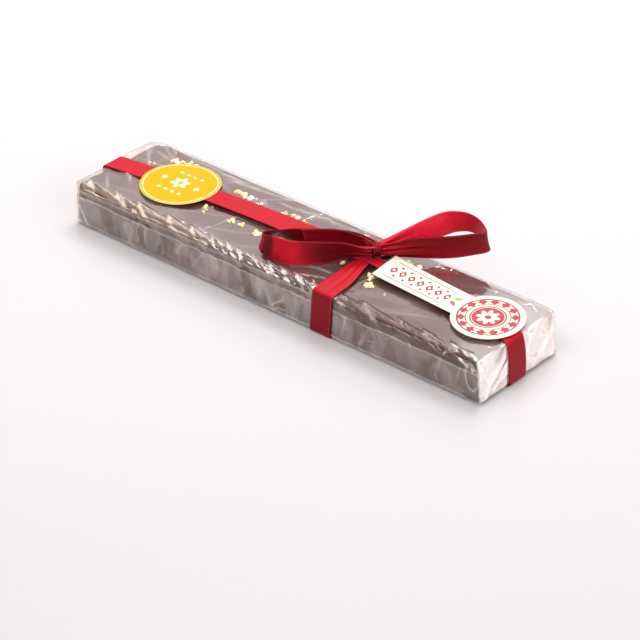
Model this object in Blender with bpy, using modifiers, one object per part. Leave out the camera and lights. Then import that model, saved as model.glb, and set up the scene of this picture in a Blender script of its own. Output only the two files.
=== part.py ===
"""Chocolate-coated nougat bar in a clear film wrap, tied with a satin ribbon and a bow, with a sticker and a tag.

The frame is metres with +Z up. +X runs along the bar towards the end that carries the tag's round head, +Y points
to the bar's rear long side, and the origin lies on the ribbon's underside, below the middle of the bar.
"""

import math
import random

import bmesh
import bpy
import numpy as np
from mathutils import Matrix, Vector

MM = 0.001

# Wrapped bar: outer size of the film, and its rounding.
BAR_LENGTH = 211 * MM
BAR_WIDTH = 50 * MM
RIBBON_THICK = 0.4 * MM
GAP = 0.3 * MM
BAR_BOTTOM = RIBBON_THICK + GAP
BAR_TOP = 19.2 * MM
EDGE_RADIUS = 1.0 * MM
HALF_LENGTH = BAR_LENGTH / 2
HALF_WIDTH = BAR_WIDTH / 2

# Radius of each upright corner in plan, by the signs of its x and y.
CORNER_RADII = {(-1, 1): 7 * MM, (1, 1): 3 * MM, (-1, -1): 2.5 * MM, (1, -1): 1.5 * MM}

# Film: gathered ridge on the front top edge, overlap on the front side, folded flaps on both ends.
RIDGE_PROUD = 0.9 * MM
RIDGE_REACH = 4.0 * MM
RIDGE_PITCH = 6.5 * MM
RIDGE_CENTRE_X = -18 * MM
RIDGE_SPREAD_X = 55 * MM
RIDGE_BASE_SHARE = 0.35
RIDGE_BEAT = 2.7
OVERLAP_HEIGHT = 13.6 * MM
OVERLAP_STEP = 0.25 * MM
FLAP_TOP = 7.2 * MM
FLAP_LOW = 1.6 * MM
FLAP_HALF_TOP = 6 * MM
FLAP_HALF_BASE = 22 * MM
FLAP_STEP = 0.3 * MM
TOP_SAG = 0.3 * MM
TOP_WRINKLE = 0.12 * MM
TOP_WAVE_LONG = (14 * MM, 5 * MM)
TOP_WAVE_SHORT = (9 * MM, 4 * MM)
NEAR_END_LEAN = 2.3 * MM
NEAR_END_LEAN_REACH = 25 * MM
NEAR_END_LEAN_POWER = 3
GRID_X = 3.0 * MM
GRID_Y = 5.0 * MM
GRID_Z = 4.5 * MM

# Ribbon: one width all round, drawn together where it meets the knot.
RIBBON_WIDTH = 10 * MM
BAND_RADIUS = EDGE_RADIUS + GAP + RIBBON_THICK / 2
BAND_OFFSET = GAP + RIBBON_THICK / 2
LENGTH_BAND_Y_FAR = -2.1 * MM
LENGTH_BAND_Y_NEAR = -2.0 * MM
CROSS_BAND_X_TOP = 28.1 * MM
CROSS_BAND_X_BASE = 26.8 * MM
CROSS_BAND_LIFT = 0.03 * MM
CROSS_BAND_THICK = 0.37 * MM
CROSSING = Vector((28.4, 4.8, 21.2)) * MM
CROSSING_SINK = 0.3 * MM
LENGTH_BAND_BEND = 2.6
CROSS_BAND_SHIFT = 2.2 * MM
GATHERED_WIDTH = 5.5 * MM
GATHER_REACH_LONG = 18 * MM
GATHER_REACH_CROSS = 22 * MM
BAND_TILT = 0.6 * MM
BAND_TILT_REACH = 80 * MM

# Bow: its loops lie along one line, turned from the bar's length.
BOW_TURN = math.radians(40.1)
KNOT_CENTRE = Vector((28.8, 7.1, 25.0)) * MM
KNOT_HALF = (2.2, 3.1, 3.15)
LOOP_THICK = 0.5 * MM

# Each station of a loop: reach along the bow, offset across it and height, all from the knot in mm, the lean of
# the ribbon's upper edge away from the front and its lean along the bow in degrees, and its share of the full width.
RIGHT_LOOP = (
    (0.6, 0.4, 0.4, 0, 0, 0.42),
    (4.0, 0.7, 1.4, 2, 0, 0.56),
    (11.0, 2.0, 3.6, 8, 0, 0.82),
    (18.0, 4.5, 5.2, 15, 0, 0.97),
    (25.0, 8.2, 6.3, 14, 0, 1.0),
    (31.0, 10.6, 6.5, -4, 0, 1.0),
    (36.8, 11.0, 5.8, -15, -3, 1.0),
    (41.2, 7.9, 4.6, -15, -7, 1.0),
    (43.7, 2.6, 3.4, -14, -10, 1.0),
    (42.8, -0.2, 3.4, -9, -7, 1.0),
    (38.0, -2.3, 3.8, -3, -2, 1.0),
    (31.0, -3.8, 3.6, 0, 0, 1.0),
    (24.0, -4.2, 3.3, 0, 0, 0.98),
    (15.0, -3.1, 2.4, 0, 0, 0.88),
    (7.0, -1.7, 0.8, 0, 0, 0.68),
    (0.6, -0.6, 0.0, 0, 0, 0.45),
)
LEFT_LOOP = (
    (-0.6, -0.8, 0.0, 0, 0, 0.42),
    (-5.5, -1.6, 0.1, -20, 0, 0.62),
    (-12.5, -1.8, 0.3, -14, 0, 0.86),
    (-20.0, -2.4, -0.2, 0, 0, 0.96),
    (-27.0, -2.7, -0.5, 13, 0, 1.0),
    (-34.0, -1.9, -0.7, 26, 0, 1.0),
    (-40.3, 1.0, -0.5, 12, 4, 1.0),
    (-44.8, 4.4, -0.3, 0, 10, 1.0),
    (-45.7, 7.4, 0.0, -10, 12, 1.0),
    (-43.3, 9.8, 0.4, -30, 12, 1.0),
    (-38.8, 10.6, 0.9, -44, 6, 1.0),
    (-33.0, 9.2, 1.0, -30, 0, 1.0),
    (-25.0, 7.3, 0.9, -14, 0, 0.98),
    (-16.0, 6.6, 1.0, -10, 0, 0.94),
    (-7.5, 4.2, 1.2, -6, 0, 0.72),
    (-0.6, 0.7, 0.4, 0, 0, 0.42),
)
TAIL = (
    (-0.6, 0.0, 0.2, 0, 0, 0.40),
    (-6.5, 2.4, 1.2, 0, 0, 0.66),
    (-14.0, 4.6, 1.4, 2, 0, 0.90),
    (-21.0, 5.0, 1.2, 4, 0, 0.97),
    (-28.3, 4.8, 0.9, 6, 0, 1.0),
)
TAIL_SLANT = -3.0 * MM
LOOP_STEPS = 46
TAIL_STEPS = 14

# Sticker: a round label across the lengthwise ribbon.
STICKER_RADIUS = 17.1 * MM
STICKER_CENTRE = (-70.1 * MM, 1.4 * MM)
STICKER_THICK = 0.25 * MM
STICKER_DROOP = 0.45 * MM
STICKER_STEPS = 18

# Tag: a strip with a round head, lying on the ribbon from the knot to the near end.
TAG_HEAD_RADIUS = 14.6 * MM
TAG_HEAD_CENTRE = (89.0 * MM, 0.6 * MM)
TAG_STRIP_WIDTH = 14.0 * MM
TAG_START = (35.3 * MM, 3.4 * MM)
TAG_Z = 21.05 * MM
TAG_THICK = 0.35 * MM
TAG_RISE = 1.15 * MM
TAG_SLOPE_HEAD = 0.048
TAG_SLOPE_KNOT = 0.10
TAG_STEPS_STRIP = 14
TAG_STEPS_HEAD = 16
TAG_STEPS_ACROSS = 6

# Nut crumbs under the film: clusters as centre x, centre y, half spread x, half spread y in mm, and how many.
CRUMB_CLUSTERS = (
    (-84, 15.5, 10, 3.5, 4),
    (-43, 12.8, 8, 2.0, 6),
    (-19, 12.6, 8, 1.8, 5),
    (-48, -6.8, 6, 1.8, 4),
    (-30, -5.4, 7, 1.8, 3),
    (42, -8.2, 8, 2.0, 3),
    (42, 15.6, 6, 2.0, 3),
)
CRUMB_SEED = 11
CRUMB_RADIUS = (0.9, 1.5)
CRUMB_HEIGHT = 0.75
CRUMB_DEPTH = 0.15 * MM


def clear_scene():
    """Remove every object of the scene."""
    for item in list(bpy.data.objects):
        bpy.data.objects.remove(item, do_unlink=True)


def make_material(name, colour, roughness, metallic=0.0):
    """Return a Principled material with one colour, roughness and metallic value."""
    material = bpy.data.materials.new(name)
    material.use_nodes = True
    shader = material.node_tree.nodes["Principled BSDF"]
    shader.inputs["Base Color"].default_value = (*colour, 1.0)
    shader.inputs["Roughness"].default_value = roughness
    shader.inputs["Metallic"].default_value = metallic
    material.diffuse_color = (*colour, 1.0)
    return material


def object_from_bmesh(name, work, collection, material=None):
    """Turn a bmesh into a named object of the collection."""
    mesh = bpy.data.meshes.new(name)
    bmesh.ops.recalc_face_normals(work, faces=work.faces)
    work.to_mesh(mesh)
    work.free()
    item = bpy.data.objects.new(name, mesh)
    collection.objects.link(item)
    if material is not None:
        mesh.materials.append(material)
    return item


def ribbon_grid(steps, rows, place, closed=False):
    """Return a bmesh sheet of steps by rows faces whose corners lie at place(u, v), u and v from 0 to 1."""
    work = bmesh.new()
    bmesh.ops.create_grid(work, x_segments=steps, y_segments=rows, size=0.5)
    for vert in work.verts:
        vert.co = place(vert.co.x + 0.5, vert.co.y + 0.5)
    if closed:
        bmesh.ops.remove_doubles(work, verts=work.verts, dist=0.001 * MM)
    return work


def thicken(item, thickness):
    """Give an open sheet a wall, half on each side."""
    wall = item.modifiers.new("wall", "SOLIDIFY")
    wall.thickness = thickness
    wall.offset = 0.0
    wall.use_even_offset = True


def apply_modifiers(item):
    """Replace the object's mesh by its evaluated mesh and drop the modifiers."""
    graph = bpy.context.evaluated_depsgraph_get()
    mesh = bpy.data.meshes.new_from_object(item.evaluated_get(graph))
    item.modifiers.clear()
    item.data = mesh


def join_solids(item, others, solver="EXACT"):
    """Fuse other solids into the item by one Boolean union on a collection, and remove them."""
    group = bpy.data.collections.new(item.name + "_pieces")
    bpy.context.scene.collection.children.link(group)
    for other in others:
        group.objects.link(other)
    fuse = item.modifiers.new("fuse", "BOOLEAN")
    fuse.operation = "UNION"
    fuse.solver = solver
    fuse.operand_type = "COLLECTION"
    fuse.collection = group
    apply_modifiers(item)
    for other in others:
        bpy.data.objects.remove(other, do_unlink=True)
    bpy.data.collections.remove(group)


def smoothstep(low, high, value):
    """Return 0 below low, 1 above high and a smooth rise between, for numbers or arrays."""
    share = np.clip((value - low) / (high - low), 0.0, 1.0)
    return share * share * (3 - 2 * share)


def catmull_rom(stations, u):
    """Return the stations' values at u from 0 to 1 along a smooth curve through all of them."""
    last = len(stations) - 1
    place = min(max(u, 0.0), 1.0) * last
    index = min(int(place), last - 1)
    t = place - index
    picks = [np.array(stations[min(max(index + k, 0), last)], float) for k in (-1, 0, 1, 2)]
    before, here, there, after = picks
    return 0.5 * (
        2 * here
        + (there - before) * t
        + (2 * before - 5 * here + 4 * there - after) * t**2
        + (3 * here - before - 3 * there + after) * t**3
    )


def rounded_ring(half_run, low, high, radius, run_steps, corner_steps):
    """Return points of a rounded rectangle, as pairs of run and height, from the top middle towards +run."""
    corners = (
        (half_run - radius, high - radius, 90),
        (half_run - radius, low + radius, 0),
        (-half_run + radius, low + radius, -90),
        (-half_run + radius, high - radius, 180),
    )
    points = []
    for run, height, start in corners:
        for step in range(corner_steps + 1):
            angle = math.radians(start - 90 * step / corner_steps)
            points.append((run + radius * math.cos(angle), height + radius * math.sin(angle)))
    ring = []
    for index, point in enumerate(points):
        nxt = points[(index + 1) % len(points)]
        ring.append(point)
        length = math.dist(point, nxt)
        pieces = max(1, round(length / run_steps))
        for step in range(1, pieces):
            share = step / pieces
            ring.append((point[0] + (nxt[0] - point[0]) * share, point[1] + (nxt[1] - point[1]) * share))
    return ring


def crossing_pull(run, crossing_run, reach):
    """Return how far a band at this run is drawn to the knot, from 0 to 1."""
    return 1.0 - smoothstep(0.0, reach, abs(run - crossing_run))


def tension_lift(run, crossing_run, half_run, rise):
    """Return the height above the bar's top of a band stretched straight from an edge to the knot."""
    span = half_run - crossing_run if run > crossing_run else half_run + crossing_run
    return rise * max(0.0, 1 - abs(run - crossing_run) / span)


def lengthwise_lift(run):
    """Return the lift of the lengthwise band at this place along the bar."""
    return tension_lift(run, CROSSING.x, HALF_LENGTH, CROSSING.z - BAR_TOP - BAND_OFFSET)


def near_end_lean(run, height):
    """Return how far the near end face is drawn in at this height, for numbers or arrays."""
    level = np.clip((height - BAR_BOTTOM) / (BAR_TOP - BAR_BOTTOM), 0.0, 1.0)
    share = smoothstep(HALF_LENGTH - NEAR_END_LEAN_REACH, HALF_LENGTH, run)
    return NEAR_END_LEAN * level**NEAR_END_LEAN_POWER * share


def lengthwise_band_corner(run, height, side):
    """Return a corner of the lengthwise band: its centre line bends in plan to pass below the knot."""
    middle = (BAR_TOP + BAR_BOTTOM) / 2
    near = run > CROSSING.x
    end_y = LENGTH_BAND_Y_NEAR if near else LENGTH_BAND_Y_FAR
    lean = near_end_lean(run, height)
    if height < middle:
        return Vector((run - lean, end_y + side * RIBBON_WIDTH / 2, height))
    span = HALF_LENGTH - CROSSING.x if near else HALF_LENGTH + CROSSING.x
    share = min(abs(run - CROSSING.x) / span, 1.0)
    centre = CROSSING.y + (end_y - CROSSING.y) * share**LENGTH_BAND_BEND
    pull = crossing_pull(run, CROSSING.x, GATHER_REACH_LONG)
    width = RIBBON_WIDTH + (GATHERED_WIDTH - RIBBON_WIDTH) * pull
    spread = crossing_pull(run, CROSSING.x, BAND_TILT_REACH)
    tilt = 0.0 if near else BAND_TILT * spread * (1 - pull)
    return Vector((run - lean, centre + side * width / 2, height + lengthwise_lift(run) + side * tilt))


def crosswise_band_corner(run, height, side):
    """Return a corner of the crosswise band, which narrows from the front edge towards the knot."""
    level = min(max((height - BAR_BOTTOM) / (BAR_TOP - BAR_BOTTOM), 0.0), 1.0)
    centre = CROSS_BAND_X_BASE + (CROSS_BAND_X_TOP - CROSS_BAND_X_BASE) * level
    if level < 0.5:
        return Vector((centre + side * RIBBON_WIDTH / 2, run, height))
    pull = crossing_pull(run, CROSSING.y, GATHER_REACH_CROSS)
    width = RIBBON_WIDTH + (GATHERED_WIDTH - RIBBON_WIDTH) * pull
    shift = (CROSSING.x - CROSS_BAND_SHIFT - centre) * pull
    lift = tension_lift(run, CROSSING.y, HALF_WIDTH, CROSSING.z - CROSSING_SINK - BAR_TOP - BAND_OFFSET)
    return Vector((centre + shift + side * width / 2, run, height + lift))


def make_band(name, ring, corner, thickness, collection, material):
    """Make a closed ribbon band that follows a ring of run and height pairs."""
    count = len(ring)

    def place(u, v):
        run, height = ring[round(u * count) % count]
        return corner(run, height, 2 * v - 1)

    item = object_from_bmesh(name, ribbon_grid(count, 1, place, closed=True), collection, material)
    thicken(item, thickness)
    apply_modifiers(item)
    return item


def make_ribbon_bands(collection, material):
    """Make the lengthwise and crosswise bands round the bar as one solid."""
    low = BAR_BOTTOM - BAND_OFFSET
    high = BAR_TOP + BAND_OFFSET
    long_ring = rounded_ring(HALF_LENGTH + BAND_OFFSET, low, high, BAND_RADIUS, 6 * MM, 4)
    cross_ring = rounded_ring(HALF_WIDTH + BAND_OFFSET, low + CROSS_BAND_LIFT, high, BAND_RADIUS, 4 * MM, 4)
    bands = make_band("ribbon_bands", long_ring, lengthwise_band_corner, RIBBON_THICK, collection, material)
    cross = make_band("band_across", cross_ring, crosswise_band_corner, CROSS_BAND_THICK, collection, material)
    join_solids(bands, [cross])
    return bands


def bow_point(along, across, height):
    """Return the world place of a point given in the bow's own directions, in metres from the knot."""
    cosine, sine = math.cos(BOW_TURN), math.sin(BOW_TURN)
    return KNOT_CENTRE + Vector((cosine * along - sine * across, sine * along + cosine * across, height))


def ribbon_place(stations, slant=0.0):
    """Return the place function of a ribbon on edge that runs through the stations."""

    def place(u, v):
        along, across, height, lean_back, lean_along, share = catmull_rom(stations, u)
        half = (v - 0.5) * RIBBON_WIDTH * share
        back, onward = math.radians(lean_back), math.radians(lean_along)
        cut = slant * (v - 0.5) * max(0.0, u - 0.6) / 0.4
        return bow_point(
            along * MM + cut + half * math.sin(onward),
            across * MM + half * math.sin(back),
            height * MM + half * math.cos(back) * math.cos(onward),
        )

    return place


def make_knot(collection, material):
    """Make the knot: a rounded band drawn round the pinch of the bow."""
    work = bmesh.new()
    turn = Matrix.Rotation(BOW_TURN, 4, "Z") @ Matrix.Rotation(math.radians(90), 4, "Y")
    bmesh.ops.create_uvsphere(work, u_segments=20, v_segments=12, radius=1.0)
    along, across, height = (half * MM for half in KNOT_HALF)
    for vert in work.verts:
        vert.co = Vector((vert.co.x * height, vert.co.y * across, vert.co.z * along))
    bmesh.ops.transform(work, matrix=Matrix.Translation(KNOT_CENTRE) @ turn, verts=work.verts)
    return object_from_bmesh("bow", work, collection, material)


def make_bow(collection, material):
    """Make the knot, both loops and the short tail as one solid."""
    knot = make_knot(collection, material)
    pieces = []
    shapes = (
        ("loop_right", RIGHT_LOOP, LOOP_STEPS, 0.0),
        ("loop_left", LEFT_LOOP, LOOP_STEPS, 0.0),
        ("tail", TAIL, TAIL_STEPS, TAIL_SLANT),
    )
    for name, stations, steps, slant in shapes:
        sheet = ribbon_grid(steps, 2, ribbon_place(stations, slant))
        piece = object_from_bmesh(name, sheet, collection, material)
        thicken(piece, LOOP_THICK)
        apply_modifiers(piece)
        pieces.append(piece)
    join_solids(knot, pieces)
    return knot


def ridge_push(points):
    """Return how far the gathered film stands out near the front top edge, for an array of points."""
    reach = np.hypot(points[:, 1] + HALF_WIDTH, points[:, 2] - BAR_TOP)
    near = np.exp(-((reach / RIDGE_REACH) ** 2))
    x = points[:, 0]
    extra = 1 - RIDGE_BASE_SHARE
    spread = RIDGE_BASE_SHARE + extra * np.exp(-(((x - RIDGE_CENTRE_X) / RIDGE_SPREAD_X) ** 2))
    phase = x / RIDGE_PITCH + 0.5 * np.sin(x / (RIDGE_BEAT * RIDGE_PITCH))
    crinkle = np.abs(2 * (phase - np.floor(phase + 0.5)))
    band = smoothstep(0.8 * RIBBON_WIDTH, 1.3 * RIBBON_WIDTH, np.abs(x - CROSS_BAND_X_TOP))
    ends = 1 - smoothstep(HALF_LENGTH - 9 * MM, HALF_LENGTH - 2 * MM, np.abs(x))
    return RIDGE_PROUD * near * spread * (RIDGE_BASE_SHARE + extra * crinkle) * band * ends


def flap_push(points):
    """Return how far the lower folded flap stands out on both ends, for an array of points."""
    share = np.clip((np.abs(points[:, 1]) - FLAP_HALF_TOP) / (FLAP_HALF_BASE - FLAP_HALF_TOP), 0.0, 1.0)
    top = FLAP_TOP + (FLAP_LOW - FLAP_TOP) * share
    on_end = np.abs(points[:, 0]) > HALF_LENGTH - 0.01 * MM
    below = points[:, 2] < BAR_BOTTOM + top + 0.01 * MM
    clear = np.abs(points[:, 1] - LENGTH_BAND_Y_FAR) > 0.5 * RIBBON_WIDTH + 0.4 * MM
    return np.where(on_end & below & clear, FLAP_STEP, 0.0)


def round_corners(points):
    """Round the upright corners in plan: each corner's square is drawn in to a quarter of a disc."""
    result = points.copy()
    for (sign_x, sign_y), radius in CORNER_RADII.items():
        dx = np.clip(sign_x * result[:, 0] - (HALF_LENGTH - radius), 0.0, None)
        dy = np.clip(sign_y * result[:, 1] - (HALF_WIDTH - radius), 0.0, None)
        both = (dx > 0) & (dy > 0)
        shrink = np.where(both, np.maximum(dx, dy) / np.maximum(np.hypot(dx, dy), 1e-9), 1.0)
        result[:, 0] -= sign_x * dx * (1 - shrink)
        result[:, 1] -= sign_y * dy * (1 - shrink)
    return result


def wrap_surface(points):
    """Return the film's surface for points of the plain box: rounded, with its ridge, overlap, flaps and sag."""
    low = np.array((-HALF_LENGTH, -HALF_WIDTH, BAR_BOTTOM))
    high = np.array((HALF_LENGTH, HALF_WIDTH, BAR_TOP))
    inner = np.clip(points, low + EDGE_RADIUS, high - EDGE_RADIUS)
    outward = points - inner
    outward /= np.linalg.norm(outward, axis=1)[:, None]
    rounded = inner + outward * EDGE_RADIUS
    push = ridge_push(points) + flap_push(points)
    on_front = outward[:, 1] < -0.9
    below = points[:, 2] < OVERLAP_HEIGHT
    push -= np.where(on_front & ~below, OVERLAP_STEP, 0.0) * (1 - ridge_push(points) / RIDGE_PROUD)
    on_top = outward[:, 2] > 0.9
    x, y = points[:, 0], points[:, 1]
    sag = TOP_SAG * (1 - (y / HALF_WIDTH) ** 2) * (1 - (x / HALF_LENGTH) ** 4)
    short_wave = np.sin(x / TOP_WAVE_SHORT[0] + y / TOP_WAVE_SHORT[1])
    long_wave = np.sin(x / TOP_WAVE_LONG[0] - y / TOP_WAVE_LONG[1] + 1)
    push -= np.where(on_top, sag + TOP_WRINKLE * (1 + short_wave * long_wave), 0.0)
    result = round_corners(rounded + outward * push[:, None])
    result[:, 0] -= near_end_lean(result[:, 0], result[:, 2])
    return result


def cut_planes(low, high, step):
    """Return evenly spaced cuts between low and high, with two more in each rounded edge."""
    count = max(2, round((high - low - 2 * EDGE_RADIUS) / step))
    inside = np.linspace(low + EDGE_RADIUS, high - EDGE_RADIUS, count + 1)
    return [low + EDGE_RADIUS / 2, *inside, high - EDGE_RADIUS / 2]


def make_wrapped_bar(collection, material):
    """Make the bar in its film as one closed solid, with a bump for each nut crumb under the film."""
    work = bmesh.new()
    size = Matrix.Diagonal((BAR_LENGTH, BAR_WIDTH, BAR_TOP - BAR_BOTTOM, 1.0))
    centre = Matrix.Translation((0, 0, (BAR_TOP + BAR_BOTTOM) / 2))
    bmesh.ops.create_cube(work, size=1.0, matrix=centre @ size)
    cuts = (
        (0, cut_planes(-HALF_LENGTH, HALF_LENGTH, GRID_X)),
        (1, cut_planes(-HALF_WIDTH, HALF_WIDTH, GRID_Y)),
        (2, cut_planes(BAR_BOTTOM, BAR_TOP, GRID_Z)),
        (2, [OVERLAP_HEIGHT - 0.2 * MM, OVERLAP_HEIGHT + 0.2 * MM]),
    )
    for axis, places in cuts:
        normal = Vector([float(axis == k) for k in range(3)])
        for place in places:
            everything = work.verts[:] + work.edges[:] + work.faces[:]
            bmesh.ops.bisect_plane(work, geom=everything, plane_co=normal * place, plane_no=normal)
    points = wrap_surface(np.array([vert.co for vert in work.verts], float))
    for vert, point in zip(work.verts, points):
        vert.co = point
    bar = object_from_bmesh("wrapped_bar", work, collection, material)
    join_solids(bar, make_crumbs(collection), "MANIFOLD")
    return bar


def make_crumbs(collection):
    """Make the crumb bumps: small uneven lumps half sunk in the film's top, clear of ribbon, sticker and tag."""
    draw = random.Random(CRUMB_SEED)
    crumbs = []
    for x, y, spread_x, spread_y, count in CRUMB_CLUSTERS:
        for index in range(count):
            share = (index + 0.5) / count * 2 - 1
            place = Vector((x + spread_x * share, y + spread_y * draw.uniform(-1, 1), 0)) * MM
            place.z = BAR_TOP - TOP_SAG - CRUMB_DEPTH
            radius = draw.uniform(*CRUMB_RADIUS) * MM
            work = bmesh.new()
            bmesh.ops.create_icosphere(work, subdivisions=1, radius=radius)
            stretch = (draw.uniform(0.8, 1.25), draw.uniform(0.8, 1.25), CRUMB_HEIGHT, 1.0)
            turn = Matrix.Rotation(draw.uniform(0, math.tau), 4, "Z")
            matrix = Matrix.Translation(place) @ turn @ Matrix.Diagonal(stretch)
            bmesh.ops.transform(work, matrix=matrix, verts=work.verts)
            crumbs.append(object_from_bmesh(f"crumb_{len(crumbs):02d}", work, collection))
    return crumbs


def make_sticker(collection, material):
    """Make the round sticker, flat on the ribbon and drooping a little on both sides of it."""

    def place(u, v):
        a, b = 2 * u - 1, 2 * v - 1
        x = STICKER_CENTRE[0] + STICKER_RADIUS * a * math.sqrt(1 - b * b / 2)
        offset = STICKER_RADIUS * b * math.sqrt(1 - a * a / 2)
        droop = STICKER_DROOP * smoothstep(0.45 * RIBBON_WIDTH, 1.5 * RIBBON_WIDTH, abs(offset))
        under = BAR_TOP + BAND_OFFSET + lengthwise_lift(x) + RIBBON_THICK / 2
        return Vector((x, STICKER_CENTRE[1] + offset, under + GAP + STICKER_THICK - droop))

    sheet = ribbon_grid(STICKER_STEPS, STICKER_STEPS, place)
    item = object_from_bmesh("sticker", sheet, collection, material)
    thicken(item, STICKER_THICK)
    return item


def make_tag(collection, material):
    """Make the tag: a strip with a round head, sloping up to the rear and rising towards the knot."""
    start = Vector((*TAG_START, 0))
    head = Vector((*TAG_HEAD_CENTRE, 0))
    along = (head - start).normalized()
    across = Vector((-along.y, along.x, 0))
    total = (head - start).length + TAG_HEAD_RADIUS
    neck = (head - start).length - math.sqrt(TAG_HEAD_RADIUS**2 - (TAG_STRIP_WIDTH / 2) ** 2)
    steps = TAG_STEPS_STRIP + TAG_STEPS_HEAD

    def place(u, v):
        step = u * steps
        if step <= TAG_STEPS_STRIP:
            reach = neck * step / TAG_STEPS_STRIP
            half = TAG_STRIP_WIDTH / 2
        else:
            share = (step - TAG_STEPS_STRIP) / TAG_STEPS_HEAD
            first = math.pi - math.asin(TAG_STRIP_WIDTH / 2 / TAG_HEAD_RADIUS)
            angle = first * (1 - share)
            reach = total - TAG_HEAD_RADIUS + TAG_HEAD_RADIUS * math.cos(angle)
            half = TAG_HEAD_RADIUS * math.sin(angle)
        offset = half * (2 * v - 1)
        to_head = 1 - reach / total
        slope = TAG_SLOPE_HEAD + TAG_SLOPE_KNOT * to_head**4
        point = start + along * reach + across * offset
        return Vector((point.x, point.y, TAG_Z + TAG_RISE * to_head**3 + slope * offset))

    sheet = ribbon_grid(steps, TAG_STEPS_ACROSS, place, closed=True)
    item = object_from_bmesh("tag", sheet, collection, material)
    thicken(item, TAG_THICK)
    return item


def main():
    """Build the wrapped nougat bar."""
    clear_scene()
    collection = bpy.data.collections.new("nougat_bar")
    bpy.context.scene.collection.children.link(collection)
    film = make_material("film_over_chocolate", (0.34, 0.27, 0.26), 0.18)
    satin = make_material("satin_ribbon", (0.62, 0.02, 0.05), 0.38)
    yellow = make_material("sticker_paper", (0.96, 0.58, 0.03), 0.45)
    cream = make_material("tag_paper", (0.95, 0.86, 0.72), 0.5)
    bar = make_wrapped_bar(collection, film)
    bands = make_ribbon_bands(collection, satin)
    bow = make_bow(collection, satin)
    sticker = make_sticker(collection, yellow)
    tag = make_tag(collection, cream)
    for item in (bar, bands, bow, sticker, tag):
        item.data.shade_smooth()
        item.data.set_sharp_from_angle(angle=math.radians(30))


main()
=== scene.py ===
"""Looks of the wrapped nougat bar.

Clear film over chocolate, nougat and nut crumbs, a satin ribbon with its bow, a round sticker and a tag.
Every length in the classes is in millimetres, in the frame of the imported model. Meshes are written in metres.
"""

import logging
import math
from collections.abc import Callable, Sequence
from dataclasses import dataclass, field
from enum import Enum

import bmesh
import bpy
import numpy as np
from mathutils import Matrix, Vector


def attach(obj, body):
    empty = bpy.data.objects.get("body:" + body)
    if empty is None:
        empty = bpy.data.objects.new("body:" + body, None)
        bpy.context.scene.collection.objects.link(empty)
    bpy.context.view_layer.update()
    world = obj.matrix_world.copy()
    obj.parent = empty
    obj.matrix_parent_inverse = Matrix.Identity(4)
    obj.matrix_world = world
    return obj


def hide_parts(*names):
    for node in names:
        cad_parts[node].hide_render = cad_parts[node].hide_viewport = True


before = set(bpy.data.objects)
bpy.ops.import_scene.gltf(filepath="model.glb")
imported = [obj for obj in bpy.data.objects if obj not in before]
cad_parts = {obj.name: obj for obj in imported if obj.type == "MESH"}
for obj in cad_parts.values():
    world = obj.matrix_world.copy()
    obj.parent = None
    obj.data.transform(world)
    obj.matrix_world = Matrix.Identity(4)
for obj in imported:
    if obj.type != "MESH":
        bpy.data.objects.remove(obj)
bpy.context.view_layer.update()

LOG = logging.getLogger("nougat_bar")
Array = np.ndarray
Triple = tuple[float, float, float]
Colour = Triple
MM = 0.001
BODY = "root"
# lighter copy of the satin's lit and deep colours: painted light for the right loop's inner side
INNER_SATIN_PAINTED_LIGHT = ((0.74, 0.016, 0.05), (0.52, 0.006, 0.02))


def smoothstep(low: float, high: float, value: Array) -> Array:
    """Return 0 below low, 1 above high and 3s^2 - 2s^3 between, where s is the share of the way.

    Args:
        low: Value where the rise starts.
        high: Value where the rise ends.
        value: Numbers to map.

    Returns:
        The mapped numbers.
    """
    share = np.clip((value - low) / (high - low), 0.0, 1.0)
    return share * share * (3 - 2 * share)


def bell(value: Array, centre: float, reach: float) -> Array:
    """Return exp(-((value - centre) / reach)^2), a soft bump at centre.

    Args:
        value: Numbers to map.
        centre: Place of the bump.
        reach: Distance at which the bump has fallen to 1/e.

    Returns:
        Numbers from 0 to 1.
    """
    return np.exp(-(((value - centre) / reach) ** 2))


def smooth_curve(stations: Sequence[Sequence[float]], share: Array) -> Array:
    """Return the Catmull-Rom curve through all stations, at shares from 0 to 1 of their number.

    Args:
        stations: Rows of values that the curve passes through.
        share: Where to read the curve.

    Returns:
        One row of values for each share.
    """
    rows = np.array(stations, float)
    last = len(rows) - 1
    place = np.clip(share, 0.0, 1.0) * last
    index = np.minimum(place.astype(int), last - 1)
    t = (place - index)[:, None]
    before, here, there, after = (rows[np.clip(index + k, 0, last)] for k in (-1, 0, 1, 2))
    return 0.5 * (
        2 * here
        + (there - before) * t
        + (2 * before - 5 * here + 4 * there - after) * t**2
        + (3 * here - before - 3 * there + after) * t**3
    )


def graded_cuts(low: float, high: float, step: Callable[[Array], Array]) -> Array:
    """Return cuts from low to high whose spacing follows step: equal shares of the integral of 1 / step.

    Args:
        low: First cut.
        high: Last cut.
        step: Wanted spacing at each place.

    Returns:
        The cuts, in rising order.
    """
    fine = np.linspace(low, high, 2001)
    density = 1 / step(fine)
    total = np.concatenate(([0.0], np.cumsum((density[1:] + density[:-1]) / 2 * np.diff(fine))))
    return np.interp(np.linspace(0, total[-1], round(total[-1]) + 1), total, fine)


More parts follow.
